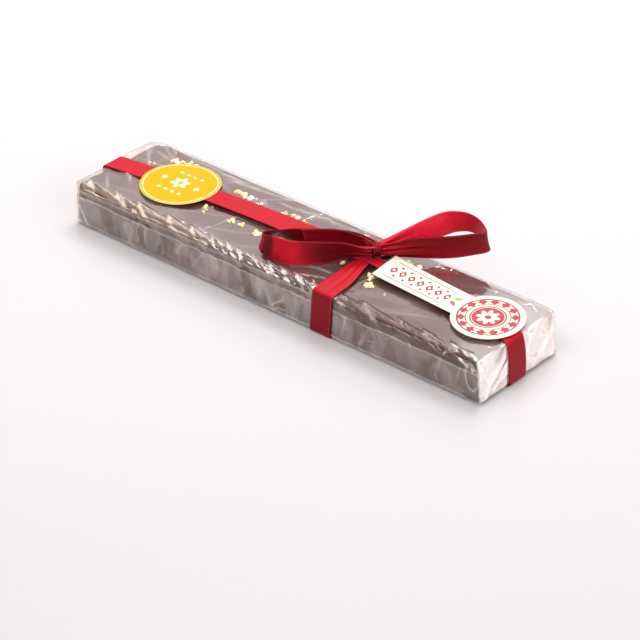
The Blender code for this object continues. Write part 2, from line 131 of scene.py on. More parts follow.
class Lattice:
    """Repeatable random heights on a lattice, read smoothly or as flat facets."""

    SIZE = 64

    def __init__(self, seed: int) -> None:
        """Fill the lattice with random heights from -1 to 1."""
        self.heights = np.random.default_rng(seed).uniform(-1, 1, (self.SIZE, self.SIZE))

    def corners(self, u: Array, v: Array) -> tuple[Array, ...]:
        """Return the place in the cell along u and v, and the heights at the cell's four corners.

        Args:
            u: First coordinates, in cells.
            v: Second coordinates, in cells.

        Returns:
            Six arrays of the same shape.
        """
        i, j = np.floor(u).astype(int), np.floor(v).astype(int)
        steps = ((0, 0), (1, 0), (0, 1), (1, 1))
        picks = (self.heights[(i + a) % self.SIZE, (j + b) % self.SIZE] for a, b in steps)
        return u - i, v - j, *picks

    def smooth(self, u: Array, v: Array) -> Array:
        """Return heights blended with 3s^2 - 2s^3 weights along both directions.

        Args:
            u: First coordinates, in cells.
            v: Second coordinates, in cells.

        Returns:
            The heights, from -1 to 1.
        """
        a, b, low, right, up, far = self.corners(u, v)
        a, b = smoothstep(0, 1, a), smoothstep(0, 1, b)
        return (low * (1 - a) + right * a) * (1 - b) + (up * (1 - a) + far * a) * b

    def facets(self, u: Array, v: Array) -> Array:
        """Return heights on flat triangles, two to a cell, which gives the sharp creases of crumpled film.

        Args:
            u: First coordinates, in cells.
            v: Second coordinates, in cells.

        Returns:
            The heights, from -1 to 1.
        """
        a, b, low, right, up, far = self.corners(u, v)
        lower = low + (right - low) * a + (far - right) * b
        upper = low + (up - low) * b + (far - up) * a
        return np.where(a > b, lower, upper)

    def folds(self, u: Array, v: Array, angle: float, pitch: float, width: float) -> tuple[Array, Array]:
        """Return straight folds across a direction, as heights from 0 to 1 and as thin lines on their crests.

        The phase p is the distance along the direction over the pitch, bent by smooth noise. The height is
        the triangular wave 1 - |2 frac(p) - 1| times a strength that fades in and out by smooth noise.

        Args:
            u: First coordinates in millimetres.
            v: Second coordinates in millimetres.
            angle: Direction of the row of folds, in degrees from the first coordinate.
            pitch: Distance from fold to fold.
            width: Width of the crest lines.

        Returns:
            The heights and the lines.
        """
        turn = math.radians(angle)
        phase = (u * math.cos(turn) + v * math.sin(turn)) / pitch
        phase = phase + 0.45 * self.smooth(u / (2.2 * pitch) + 5, v / (2.2 * pitch) + 9)
        share = phase - np.floor(phase)
        strength = np.clip(0.35 + 1.1 * self.smooth(u / (1.3 * pitch) + 23, v / (1.3 * pitch) + 31), 0, 1)
        line = np.exp(-((np.abs(share - 0.5) * pitch / width) ** 2)) * strength
        return (1 - np.abs(2 * share - 1)) * strength, line


def make_object(
    name: str,
    points: Array,
    faces: Array,
    materials: Sequence[bpy.types.Material],
    uv: Array | None = None,
    values: dict[str, Array] | None = None,
) -> bpy.types.Object:
    """Write points in millimetres and quads or triangles to a smooth mesh at the origin.

    Args:
        name: Name of the piece.
        points: One row of x, y, z for each vertex.
        faces: One row of vertex numbers for each face.
        materials: Materials of the piece's slots.
        uv: One row of u, v for each face corner.
        values: Named numbers, one for each vertex.

    Returns:
        The new object, in the scene's collection.
    """
    mesh = bpy.data.meshes.new(name)
    sides = faces.shape[1]
    mesh.vertices.add(len(points))
    mesh.vertices.foreach_set("co", (points * MM).astype(np.float32).ravel())
    mesh.loops.add(faces.size)
    mesh.loops.foreach_set("vertex_index", faces.astype(np.int32).ravel())
    mesh.polygons.add(len(faces))
    mesh.polygons.foreach_set("loop_start", np.arange(len(faces), dtype=np.int32) * sides)
    mesh.update(calc_edges=True)
    if uv is not None:
        mesh.uv_layers.new(name="UVMap").uv.foreach_set("vector", uv.astype(np.float32).ravel())
    for key, numbers in (values or {}).items():
        layer = mesh.attributes.new(key, "FLOAT", "POINT")
        layer.data.foreach_set("value", numbers.astype(np.float32))
    mesh.shade_smooth()
    for material in materials:
        mesh.materials.append(material)
    piece = bpy.data.objects.new(name, mesh)
    bpy.context.scene.collection.objects.link(piece)
    return piece


def grid_faces(count_u: int, count_v: int, wrap_u: bool = False, wrap_v: bool = False) -> Array:
    """Return the quads of a grid of count_u by count_v points, closed on itself where wrapped.

    Args:
        count_u: Number of rows.
        count_v: Number of points in a row.
        wrap_u: Whether the last row meets the first.
        wrap_v: Whether each row's last point meets its first.

    Returns:
        Four vertex numbers for each quad.
    """
    i = np.arange(count_u if wrap_u else count_u - 1)[:, None]
    j = np.arange(count_v if wrap_v else count_v - 1)[None, :]
    near, far = (i % count_u) * count_v, ((i + 1) % count_u) * count_v
    low, high = j % count_v, (j + 1) % count_v
    return np.stack([near + low, far + low, far + high, near + high], -1).reshape(-1, 4)


def sheet_normals(points: Array) -> Array:
    """Return a grid's unit normals: the cross product of its differences along rows and columns."""
    normal = np.cross(np.gradient(points, axis=0), np.gradient(points, axis=1))
    return normal / (np.linalg.norm(normal, axis=-1, keepdims=True) + 1e-9)


def grid_uv(u: Array, v: Array) -> Array:
    """Return corner coordinates of a grid's quads from the values of u and v at its lines.

    Args:
        u: Value of each row.
        v: Value of each column.

    Returns:
        One row of u, v for each corner of each quad.
    """
    low_u, low_v = np.meshgrid(u[:-1], v[:-1], indexing="ij")
    high_u, high_v = np.meshgrid(u[1:], v[1:], indexing="ij")
    corners = ((low_u, low_v), (high_u, low_v), (high_u, high_v), (low_u, high_v))
    return np.stack([np.stack(corner, -1) for corner in corners], 2).reshape(-1, 2)


def add_wall(piece: bpy.types.Object, thickness: float, back_slot: int = 0) -> None:
    """Give an open sheet a wall, half on each side.

    Args:
        piece: The sheet.
        thickness: Wall thickness.
        back_slot: Slot number of the material on the back and the rim.
    """
    wall = piece.modifiers.new("wall", "SOLIDIFY")
    wall.thickness = thickness * MM
    wall.offset = 0.0
    wall.use_even_offset = True
    wall.material_offset = back_slot
    wall.material_offset_rim = back_slot


def declare(piece: bpy.types.Object, slot: str, *nodes: str) -> bpy.types.Object:
    """Ride a piece on the body, name its slot and the nodes that it stands for, and report it.

    Args:
        piece: The finished piece.
        slot: Material slot of the record.
        nodes: Nodes that the piece replaces.

    Returns:
        The same piece.
    """
    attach(piece, BODY)
    if nodes:
        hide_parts(*nodes)
    faces = len(piece.data.polygons)
    LOG.info("%s: %d faces, slot %s, stands for %s", piece.name, faces, slot, nodes or "nothing")
    return piece


@dataclass(frozen=True)
class Shade:
    """A socket of a node tree, whose operators add Math nodes."""

    kit: "NodeKit"
    socket: bpy.types.NodeSocket

    def math(self, operation: str, *values: "Shade | float") -> "Shade":
        """Return the result of one Math node on the values."""
        return self.kit.node("ShaderNodeMath", {"operation": operation}, dict(enumerate(values)))

    def __add__(self, other: "Shade | float") -> "Shade":
        """Return self + other."""
        return self.math("ADD", self, other)

    def __radd__(self, other: float) -> "Shade":
        """Return other + self."""
        return self.math("ADD", other, self)

    def __sub__(self, other: "Shade | float") -> "Shade":
        """Return self - other."""
        return self.math("SUBTRACT", self, other)

    def __rsub__(self, other: float) -> "Shade":
        """Return other - self."""
        return self.math("SUBTRACT", other, self)

    def __mul__(self, other: "Shade | float") -> "Shade":
        """Return self * other."""
        return self.math("MULTIPLY", self, other)

    def __rmul__(self, other: float) -> "Shade":
        """Return other * self."""
        return self.math("MULTIPLY", other, self)

    def __truediv__(self, other: "Shade | float") -> "Shade":
        """Return self / other."""
        return self.math("DIVIDE", self, other)

    def __pow__(self, other: "Shade | float") -> "Shade":
        """Return self to the power of other."""
        return self.math("POWER", self, other)

    def __abs__(self) -> "Shade":
        """Return the size without its sign."""
        return self.math("ABSOLUTE", self)

    def either(self, other: "Shade | float") -> "Shade":
        """Return the larger of two values, which joins two masks."""
        return self.math("MAXIMUM", self, other)

    def length(self, other: "Shade") -> "Shade":
        """Return the square root of self^2 + other^2."""
        return (self * self + other * other) ** 0.5

    def below(self, limit: float, soft: float = 0.06) -> "Shade":
        """Return 1 where the value is under the limit and 0 above, over a soft edge."""
        return self.math("MULTIPLY_ADD", limit - self, 1 / soft, 0.5).clamped()

    def within(self, low: float, high: float, soft: float) -> "Shade":
        """Return 1 between low and high and 0 outside, over soft edges."""
        return self.below(high, soft) * (1 - self.below(low, soft))

    def repeated(self, pitch: float) -> "Shade":
        """Return the signed distance from the middle of the nearest cell of a row with this pitch."""
        return self.math("FRACT", self / pitch) * pitch - pitch / 2

    def clamped(self) -> "Shade":
        """Return the value held between 0 and 1."""
        return self.kit.node("ShaderNodeClamp", sockets={0: self})


class NodeKit:
    """A node tree while it is put together."""

    def __init__(self, tree: bpy.types.NodeTree) -> None:
        """Start with an empty tree."""
        self.tree = tree
        self.tree.nodes.clear()

    def node(
        self,
        kind: str,
        settings: dict[str, object] | None = None,
        sockets: dict[int | str, object] | None = None,
        output: int | str | None = 0,
    ) -> Shade | None:
        """Add one node.

        Args:
            kind: The node's type.
            settings: Its own values, which are set first.
            sockets: Links, numbers, vectors or colours of its sockets, by name or number.
            output: The output to return, or None for a node at the end of the tree.

        Returns:
            The chosen output.
        """
        node = self.tree.nodes.new(kind)
        for key, value in (settings or {}).items():
            setattr(node, key, value)
        for key, value in (sockets or {}).items():
            target = node.inputs[key]
            if isinstance(value, Shade):
                self.tree.links.new(value.socket, target)
            elif isinstance(value, tuple) and len(value) == 3 and target.type == "RGBA":
                target.default_value = (*value, 1.0)
            else:
                target.default_value = value
        return None if output is None else Shade(self, node.outputs[output])


class Recipe(NodeKit):
    """A node material while it is put together."""

    def __init__(self, name: str) -> None:
        """Start an empty material."""
        self.material = bpy.data.materials.new(name)
        self.material.use_nodes = True
        super().__init__(self.material.node_tree)

    def place(self) -> Shade:
        """Return the point in the object's own coordinates, in metres."""
        return self.node("ShaderNodeTexCoord", output="Object")

    def sheet_place(self) -> tuple[Shade, Shade]:
        """Return the piece's own sheet coordinates in millimetres, which its UV map holds as metres."""
        uv = self.node("ShaderNodeUVMap", {"uv_map": "UVMap"})
        return self.part(uv, 0) * (1 / MM), self.part(uv, 1) * (1 / MM)

    def part(self, vector: Shade, index: int) -> Shade:
        """Return one coordinate of a vector, by its number."""
        return self.node("ShaderNodeSeparateXYZ", sockets={0: vector}, output=index)

    def value(self, name: str) -> Shade:
        """Return a number that the mesh holds for each vertex."""
        return self.node("ShaderNodeAttribute", {"attribute_name": name}, output="Fac")

    def noise(self, vector: Shade, scale: float, detail: float, stretch: Triple = (1, 1, 1)) -> Shade:
        """Return noise from 0 to 1 with this many cells to a metre, stretched along the axes."""
        mapped = self.node("ShaderNodeMapping", sockets={"Vector": vector, "Scale": stretch})
        return self.node("ShaderNodeTexNoise", sockets={"Vector": mapped, "Scale": scale, "Detail": detail})

    def mix(self, factor: Shade | float, first: Shade | Colour, second: Shade | Colour) -> Shade:
        """Return a colour between two colours, by the Mix node's colour sockets."""
        return self.node("ShaderNodeMix", {"data_type": "RGBA"}, {0: factor, 6: first, 7: second}, 2)

    def bump(self, height: Shade, depth: float) -> Shade:
        """Return a normal for a height from 0 to 1 that stands for this depth in millimetres."""
        sockets = {"Height": height, "Distance": depth * MM, "Strength": 1.0}
        return self.node("ShaderNodeBump", sockets=sockets)

    def finish(self, shader: Shade) -> bpy.types.Material:
        """Link the shader to the output and return the material."""
        self.node("ShaderNodeOutputMaterial", sockets={"Surface": shader}, output=None)
        return self.material

    def principled(self, sockets: dict[str, object]) -> Shade:
        """Return a Principled shader with these sockets."""
        return self.node("ShaderNodeBsdfPrincipled", sockets=sockets)


@dataclass(frozen=True)
class FilmFinish:
    """Clear film: see-through, a mirror that grows to the sides, and milky where folded or creased; crease
    lines are partly painted glints.
    """

    tint: Colour = (0.98, 0.875, 0.85)
    warm_tint: Colour = (1.0, 0.80, 0.64)
    mirror: float = 0.13
    mirror_power: float = 3.0
    roughness: float = 0.09
    soft_gloss: float = 0.21
    crinkle_scale: float = 330.0
    crinkle_depth: float = 0.10
    crease_scale: float = 85.0
    crease_width: float = 0.035
    fine_scale: float = 270.0
    fine_width: float = 0.06
    crease_haze: float = 0.24
    crease_lift: float = 1.2
    crease_contrast: float = 7.0
    crease_start: float = 3.9

    def lines(self, recipe: Recipe, place: Shade, scale: float, width: float) -> Shade:
        """Return straight creases: the borders of random cells, where a soft noise lets them show.

        Args:
            recipe: The material.
            place: The point.
            scale: Number of cells to a metre.
            width: Width of the lines, as a share of a cell.

        Returns:
            The creases' mask.
        """
        settings = {"feature": "DISTANCE_TO_EDGE"}
        border = recipe.node("ShaderNodeTexVoronoi", settings, {"Vector": place, "Scale": scale})
        shown = recipe.noise(place, scale * 1.3, 1.0)
        return (1 - border / width).clamped() * (shown * self.crease_contrast - self.crease_start).clamped()

    def build(self) -> bpy.types.Material:
        """Return the material.

        One layer's mirror share is a + (1 - a) f^p, where f is 0 face on and 1 edge on. It grows with the
        number of further layers. The cover is the mirror plus the haze, and the mirror's part of it is metal.
        """
        recipe = Recipe("clear_film")
        place = recipe.place()
        fine = recipe.noise(place, self.crinkle_scale, 3.0, (1.0, 1.0, 1.6))
        creases = self.lines(recipe, place, self.crease_scale, self.crease_width)
        fine_creases = self.lines(recipe, place, self.fine_scale, self.fine_width)
        creases = creases.either(fine_creases * recipe.value("crinkle"))
        normal = recipe.bump(fine + creases * self.crease_lift, self.crinkle_depth)
        weight = {"Blend": 0.5, "Normal": normal}
        facing = recipe.node("ShaderNodeLayerWeight", sockets=weight, output="Facing")
        mirror = (self.mirror + (1 - self.mirror) * facing**self.mirror_power) * (1 + recipe.value("layers"))
        # the creases' milky lines are partly the whitening of creased film and partly painted glints
        cover = (mirror + recipe.value("haze") + self.crease_haze * creases).clamped()
        shader = recipe.principled(
            {
                # the warm tint paints highlights peach where the mesh's warm value is high
                "Base Color": recipe.mix(recipe.value("warm"), self.tint, self.warm_tint),
                "Metallic": (mirror / (cover + 0.001)).clamped(),
                "Roughness": self.roughness + self.soft_gloss * recipe.value("warm"),
                "Normal": normal,
            }
        )
        clear = recipe.node("ShaderNodeBsdfTransparent")
        return recipe.finish(recipe.node("ShaderNodeMixShader", sockets={0: cover, 1: clear, 2: shader}))


@dataclass(frozen=True)
class ChocolateFinish:
    """Dark chocolate: a deep brown with soft lighter bloom and a dull gloss."""

    deep: Colour = (0.058, 0.019, 0.014)
    bloom: Colour = (0.110, 0.046, 0.036)
    roughness: float = 0.34

    def build(self) -> bpy.types.Material:
        """Return the material."""
        recipe = Recipe("dark_chocolate")
        place = recipe.place()
        cloud = recipe.noise(place, 60.0, 4.0, (0.6, 1.0, 1.0))
        grain = recipe.noise(place, 900.0, 2.0)
        shader = recipe.principled(
            {
                "Base Color": recipe.mix(cloud * 0.8, self.deep, self.bloom),
                "Roughness": self.roughness + 0.15 * cloud,
                "IOR": 1.36,
                "Normal": recipe.bump(grain, 0.04),
            }
        )
        return recipe.finish(shader)


@dataclass(frozen=True)
class NougatFinish:
    """White nougat at the cut ends, with pale nut flecks."""

    cream: Colour = (0.90, 0.84, 0.74)
    shade: Colour = (0.78, 0.69, 0.56)
    nut: Colour = (0.62, 0.50, 0.24)

    def build(self) -> bpy.types.Material:
        """Return the material."""
        recipe = Recipe("white_nougat")
        place = recipe.place()
        cloud = recipe.noise(place, 180.0, 3.0)
        cells = recipe.node("ShaderNodeTexVoronoi", sockets={"Vector": place, "Scale": 190.0})
        flecks = cells.below(0.16, 0.1)
        body = recipe.mix(cloud, self.cream, self.shade)
        shader = recipe.principled(
            {
                "Base Color": recipe.mix(flecks * 0.6, body, self.nut),
                "Roughness": 0.6,
                "Subsurface Weight": 0.15,
                "Subsurface Radius": (0.002, 0.0015, 0.001),
                "Subsurface Scale": 1.0,
                "Normal": recipe.bump(cloud, 0.3),
            }
        )
        return recipe.finish(shader)


@dataclass(frozen=True)
class CrumbFinish:
    """Chopped nuts: pale yellow, some of them greener, with paler broken faces."""

    yellow: Colour = (0.88, 0.60, 0.16)
    green: Colour = (0.52, 0.52, 0.10)
    pale: Colour = (0.97, 0.86, 0.56)

    def build(self) -> bpy.types.Material:
        """Return the material."""
        recipe = Recipe("chopped_nuts")
        place = recipe.place()
        patch = recipe.noise(place, 700.0, 3.0)
        kernel = recipe.mix(recipe.value("green"), self.yellow, self.green)
        shader = recipe.principled(
            {
                "Base Color": recipe.mix((patch * 2.2 - 0.7).clamped(), kernel, self.pale),
                "Roughness": 0.55,
                "Normal": recipe.bump(patch, 0.2),
            }
        )
        return recipe.finish(shader)


@dataclass(frozen=True)
class SatinFinish:
    """Red satin ribbon: fine threads, a firmer woven edge, and painted shade that makes upright runs deeper."""

    name: str = "red_satin"
    lit: Colour = (0.54, 0.010, 0.024)
    deep: Colour = (0.36, 0.002, 0.010)
    # colour of the painted shade, mixed in where the mesh's value of painted light is low
    painted_shade: Colour = (0.075, 0.0, 0.003)
    edge: Colour = (0.85, 0.06, 0.08)
    width: float = 10.0
    roughness: float = 0.36

    def build(self) -> bpy.types.Material:
        """Return the material; the sheet's first coordinate runs along the ribbon and the second across it.

        A mesh value paints the light: at 1 the satin shows its lit tone, at 0 the colour of painted shade.
        """
        recipe = Recipe(self.name)
        _, across = recipe.sheet_place()
        uv = recipe.node("ShaderNodeUVMap", {"uv_map": "UVMap"})
        threads = recipe.noise(uv, 1500.0, 2.0, (0.35, 1.0, 1.0))
        cloud = recipe.noise(uv, 260.0, 2.0, (0.3, 1.0, 1.0))
        edge = (abs(across) / (self.width / 2)).within(0.90, 0.955, 0.03)
        body = recipe.mix((threads * 1.6 - 0.3).clamped(), self.deep, self.lit)
        body = recipe.mix(cloud * 0.3, body, self.deep)
        # painted light and shade: the mesh's value mixes the painted shade colour into the satin
        body = recipe.mix(recipe.value("nap"), self.painted_shade, body)
        shader = recipe.principled(
            {
                "Base Color": recipe.mix(edge * 0.25, body, self.edge),
                "Roughness": self.roughness + 0.16 * threads,
                "Specular IOR Level": 0.15,
                "Normal": recipe.bump(threads - edge * 0.6, 0.02),
            }
        )
        return recipe.finish(shader)


@dataclass(frozen=True)
class PaperFinish:
    """Smooth coated paper without print, for backs and cut edges."""

    name: str
    colour: Colour
    roughness: float = 0.5

    def build(self) -> bpy.types.Material:
        """Return the material."""
        recipe = Recipe(self.name)
        pulp = recipe.noise(recipe.place(), 1500.0, 3.0)
        darker = tuple(0.93 * part for part in self.colour)
        sockets = {
            "Base Color": recipe.mix(pulp, darker, self.colour),
            "Roughness": self.roughness,
            "Normal": recipe.bump(pulp, 0.01),
        }
        return recipe.finish(recipe.principled(sockets))


@dataclass(frozen=True)
class StickerFinish:
    """Yellow sticker: pale rim, thin pale ring and a plain flower between two rows of lozenges."""

    radius: float
    yellow: Colour = (0.60, 0.34, 0.001)
    rim: Colour = (0.70, 0.51, 0.09)
    print_colour: Colour = (0.66, 0.62, 0.48)

    def build(self) -> bpy.types.Material:
        """Return the material; the sheet's coordinates start at the sticker's centre."""
        recipe = Recipe("sticker_print")
        along, across = recipe.sheet_place()
        reach = along.length(across)
        angle = along.math("ARCTAN2", across, along)
        petals = abs(angle.math("SINE", angle * 3.0)) * 2.3 + 2.0
        flower = (reach - petals).below(0.0, 0.25) * (1 - reach.below(1.1, 0.2))
        lozenges = (abs(along.repeated(3.6)) + 1.4 * abs(abs(across) - 7.2)).below(1.25, 0.25)
        rows = lozenges * abs(along).below(7.2)
        side = (abs(abs(along) - 8.6) + 0.9 * abs(across)).below(1.5, 0.25)
        printed = flower.either(rows).either(side)
        ring = reach.within(self.radius * 0.905, self.radius * 0.935, 0.12)
        outer = reach.within(self.radius * 0.97, self.radius * 2.0, 0.2)
        pulp = recipe.noise(recipe.place(), 1500.0, 2.0)
        field = recipe.mix(outer * 0.6, self.yellow, self.rim)
        sockets = {
            "Base Color": recipe.mix(printed.either(ring), field, self.print_colour),
            "Roughness": 0.5,
            "Specular IOR Level": 0.12,
            "Normal": recipe.bump(pulp, 0.008),
        }
        return recipe.finish(recipe.principled(sockets))


@dataclass(frozen=True)
class TagFinish:
    """Cream tag: a plain printed seal, a chain of lozenges round it, and a row of lozenges on the strip."""

    head_radius: float
    strip_length: float
    cream: Colour = (0.80, 0.735, 0.56)
    red: Colour = (0.38, 0.028, 0.052)
    dark_red: Colour = (0.30, 0.02, 0.03)
    green: Colour = (0.25, 0.42, 0.03)
    orange: Colour = (0.66, 0.08, 0.02)

    def build(self) -> bpy.types.Material:
        """Return the material; coordinates start at the head's centre, and the strip lies at -u."""
        recipe = Recipe("tag_print")
        along, across = recipe.sheet_place()
        reach = along.length(across)
        angle = along.math("ARCTAN2", across, along)
        radius = self.head_radius
        middle = 0.72 * radius
        disc = reach.below(0.50 * radius)
        ring = reach.within(0.435 * radius, 0.455 * radius, 0.05)
        petals = abs(angle.math("SINE", angle * 4.0)) * 0.16 * radius + 0.17 * radius
        flower = (reach - petals).below(0.0, 0.2) * (1 - reach.below(0.09 * radius, 0.15))
        count = 14
        swing = (angle + math.pi).repeated(2 * math.pi / count) * middle
        chain = (abs(swing) * 0.85 + abs(reach - middle)).below(0.125 * radius, 0.2)
        inner_rail = reach.within(0.585 * radius, 0.615 * radius, 0.06)
        outer_rail = reach.within(0.80 * radius, 0.85 * radius, 0.06)
        seal = (disc * (1 - ring) * (1 - flower)).either(chain).either(inner_rail).either(outer_rail)
        on_strip = along.within(-self.strip_length + 4.0, -1.35 * radius, 0.1)
        step = 4.6
        lozenge = (abs(along.repeated(step)) + 0.8 * abs(across)).below(1.75, 0.2)
        hollow = (abs(along.repeated(step)) + 0.8 * abs(across)).below(0.7, 0.2)
        dots = abs((along + step / 2).repeated(step)).length(abs(across) - 2.9).below(0.62, 0.2)
        lines = abs(across).within(4.55, 4.95, 0.1)
        row = (lozenge * (1 - hollow)).either(dots).either(lines) * on_strip
        leaf_green = self._leaf(along + 1.13 * radius, across - 1.7, 0.55)
        leaf_orange = self._leaf(along + 1.13 * radius, across + 1.7, -0.55)
        colour = recipe.mix(seal, self.cream, self.red)
        colour = recipe.mix(row, colour, self.dark_red)
        colour = recipe.mix(leaf_green, colour, self.green)
        colour = recipe.mix(leaf_orange, colour, self.orange)
        pulp = recipe.noise(recipe.place(), 1300.0, 3.0)
        sockets = {"Base Color": colour, "Roughness": 0.5, "IOR": 1.45, "Normal": recipe.bump(pulp, 0.012)}
        return recipe.finish(recipe.principled(sockets))

    @staticmethod
    def _leaf(along: Shade, across: Shade, slope: float) -> Shade:
        """Return the mask of a small pointed leaf round a centre: where p^2 / 5.3 + |q| is under 1."""
        p = along + slope * across
        q = across - slope * along
        return (p * p / 5.3 + abs(q)).below(1.0, 0.15)


@dataclass(frozen=True)
class FloorFinish:
    """White table with a soft gloss, a little greyer towards the front by painted shade."""

    white: Colour = (0.59, 0.578, 0.584)
    grey: Colour = (0.47, 0.452, 0.462)
    roughness: float = 0.22
    front: float = -0.42
    back: float = 0.25

    def build(self) -> bpy.types.Material:
        """Return the material, whose grey of painted shade turns white with the depth 0.76 (y - 0.85 x)."""
        recipe = Recipe("white_table")
        place = recipe.place()
        depth = (recipe.part(place, 1) - 0.85 * recipe.part(place, 0)) * 0.76
        share = ((depth - self.front) / (self.back - self.front)).clamped()
        # painted shade: grey in front, white behind
        colour = recipe.mix(share, self.grey, self.white)
        return recipe.finish(
            recipe.principled({"Base Color": colour, "Roughness": self.roughness, "IOR": 1.4})
        )


class Side(Enum):
    """Sides of the bar that a crease can lie on."""

    TOP = "top"
    FRONT = "front"
    NEAR_END = "near_end"


@dataclass(frozen=True)
class Crease:
    """A straight fold line of the film, a few of them painted light and shade: its side, and its ends in that
    side's own two directions.
    """

    side: Side
    start: tuple[float, float]
    end: tuple[float, float]
    width: float
    haze: float
    lift: float = 0.0


@dataclass
class BarShape:
    """Outer form of the wrapped bar: a box with rounded edges and corners, drawn in at the near end's top."""

    length: float = 211.0
    width: float = 50.0
    low: float = 0.7
    high: float = 19.2
    edge: float = 1.0
    corner_radii: dict[tuple[int, int], float] = field(
        default_factory=lambda: {(-1, 1): 7.0, (1, 1): 3.0, (-1, -1): 2.5, (1, -1): 1.5}
    )
    end_lean: float = 2.3
    end_lean_reach: float = 25.0
    end_lean_power: int = 3
    sag: float = 0.3

    def lean(self, run: Array, height: Array) -> Array:
        """Return how far the near end is drawn in: lean * level^power, fading along the bar.

        Args:
            run: Places along the bar.
            height: Heights.

        Returns:
            The distances.
        """
        level = np.clip((height - self.low) / (self.high - self.low), 0, 1)
        share = smoothstep(self.length / 2 - self.end_lean_reach, self.length / 2, run)
        return self.end_lean * level**self.end_lean_power * share

    def shell(self, xs: Array, ys: Array, zs: Array) -> tuple[Array, Array]:
        """Return points and outward quads of a box cut at the given places, with its shared edges merged.

        Args:
            xs: Cuts along the bar.
            ys: Cuts across the bar.
            zs: Cuts up the bar.

        Returns:
            The points and the quads.
        """
        cuts = (xs, ys, zs)
        points, faces, start = [], [], 0
        for axis in range(3):
            first, second = cuts[(axis + 1) % 3], cuts[(axis + 2) % 3]
            grid = np.stack(np.meshgrid(first, second, indexing="ij"), -1).reshape(-1, 2)
            for place, outward in ((cuts[axis][0], False), (cuts[axis][-1], True)):
                side = np.empty((len(grid), 3))
                side[:, axis] = place
                side[:, (axis + 1) % 3] = grid[:, 0]
                side[:, (axis + 2) % 3] = grid[:, 1]
                quads = grid_faces(len(first), len(second)) + start
                faces.append(quads if outward else quads[:, ::-1])
                points.append(side)
                start += len(side)
        everything = np.concatenate(points)
        unique, inverse = np.unique(np.round(everything, 5), axis=0, return_inverse=True)
        return unique, inverse.ravel()[np.concatenate(faces)]

    def rounded(self, points: Array) -> tuple[Array, Array]:
        """Return the rounded place and the outward direction of points on the plain box.

        Each point is put one edge radius away from the nearest point of the box shrunk by that radius.

        Args:
            points: Points on the plain box.

        Returns:
            The places and the directions.
        """
        low = np.array((-self.length / 2, -self.width / 2, self.low))
        high = np.array((self.length / 2, self.width / 2, self.high))
        inner = np.clip(points, low + self.edge, high - self.edge)
        outward = points - inner
        outward /= np.linalg.norm(outward, axis=1)[:, None]
        return inner + outward * self.edge, outward

    def finished(self, points: Array, extra_radius: float = 0.0) -> Array:
        """Round the upright corners in plan and draw in the near end.

        Args:
            points: Points near the box.
            extra_radius: Added to each corner's radius.

        Returns:
            The moved points.
        """
        result = points.copy()
        for (sign_x, sign_y), radius in self.corner_radii.items():
            round_off = radius + extra_radius
            dx = np.clip(sign_x * result[:, 0] - (self.length / 2 - round_off), 0, None)
            dy = np.clip(sign_y * result[:, 1] - (self.width / 2 - round_off), 0, None)
            both = (dx > 0) & (dy > 0)
            shrink = np.where(both, np.maximum(dx, dy) / np.maximum(np.hypot(dx, dy), 1e-9), 1.0)
            result[:, 0] -= sign_x * dx * (1 - shrink)
            result[:, 1] -= sign_y * dy * (1 - shrink)
        result[:, 0] -= self.lean(result[:, 0], result[:, 2])
        return result


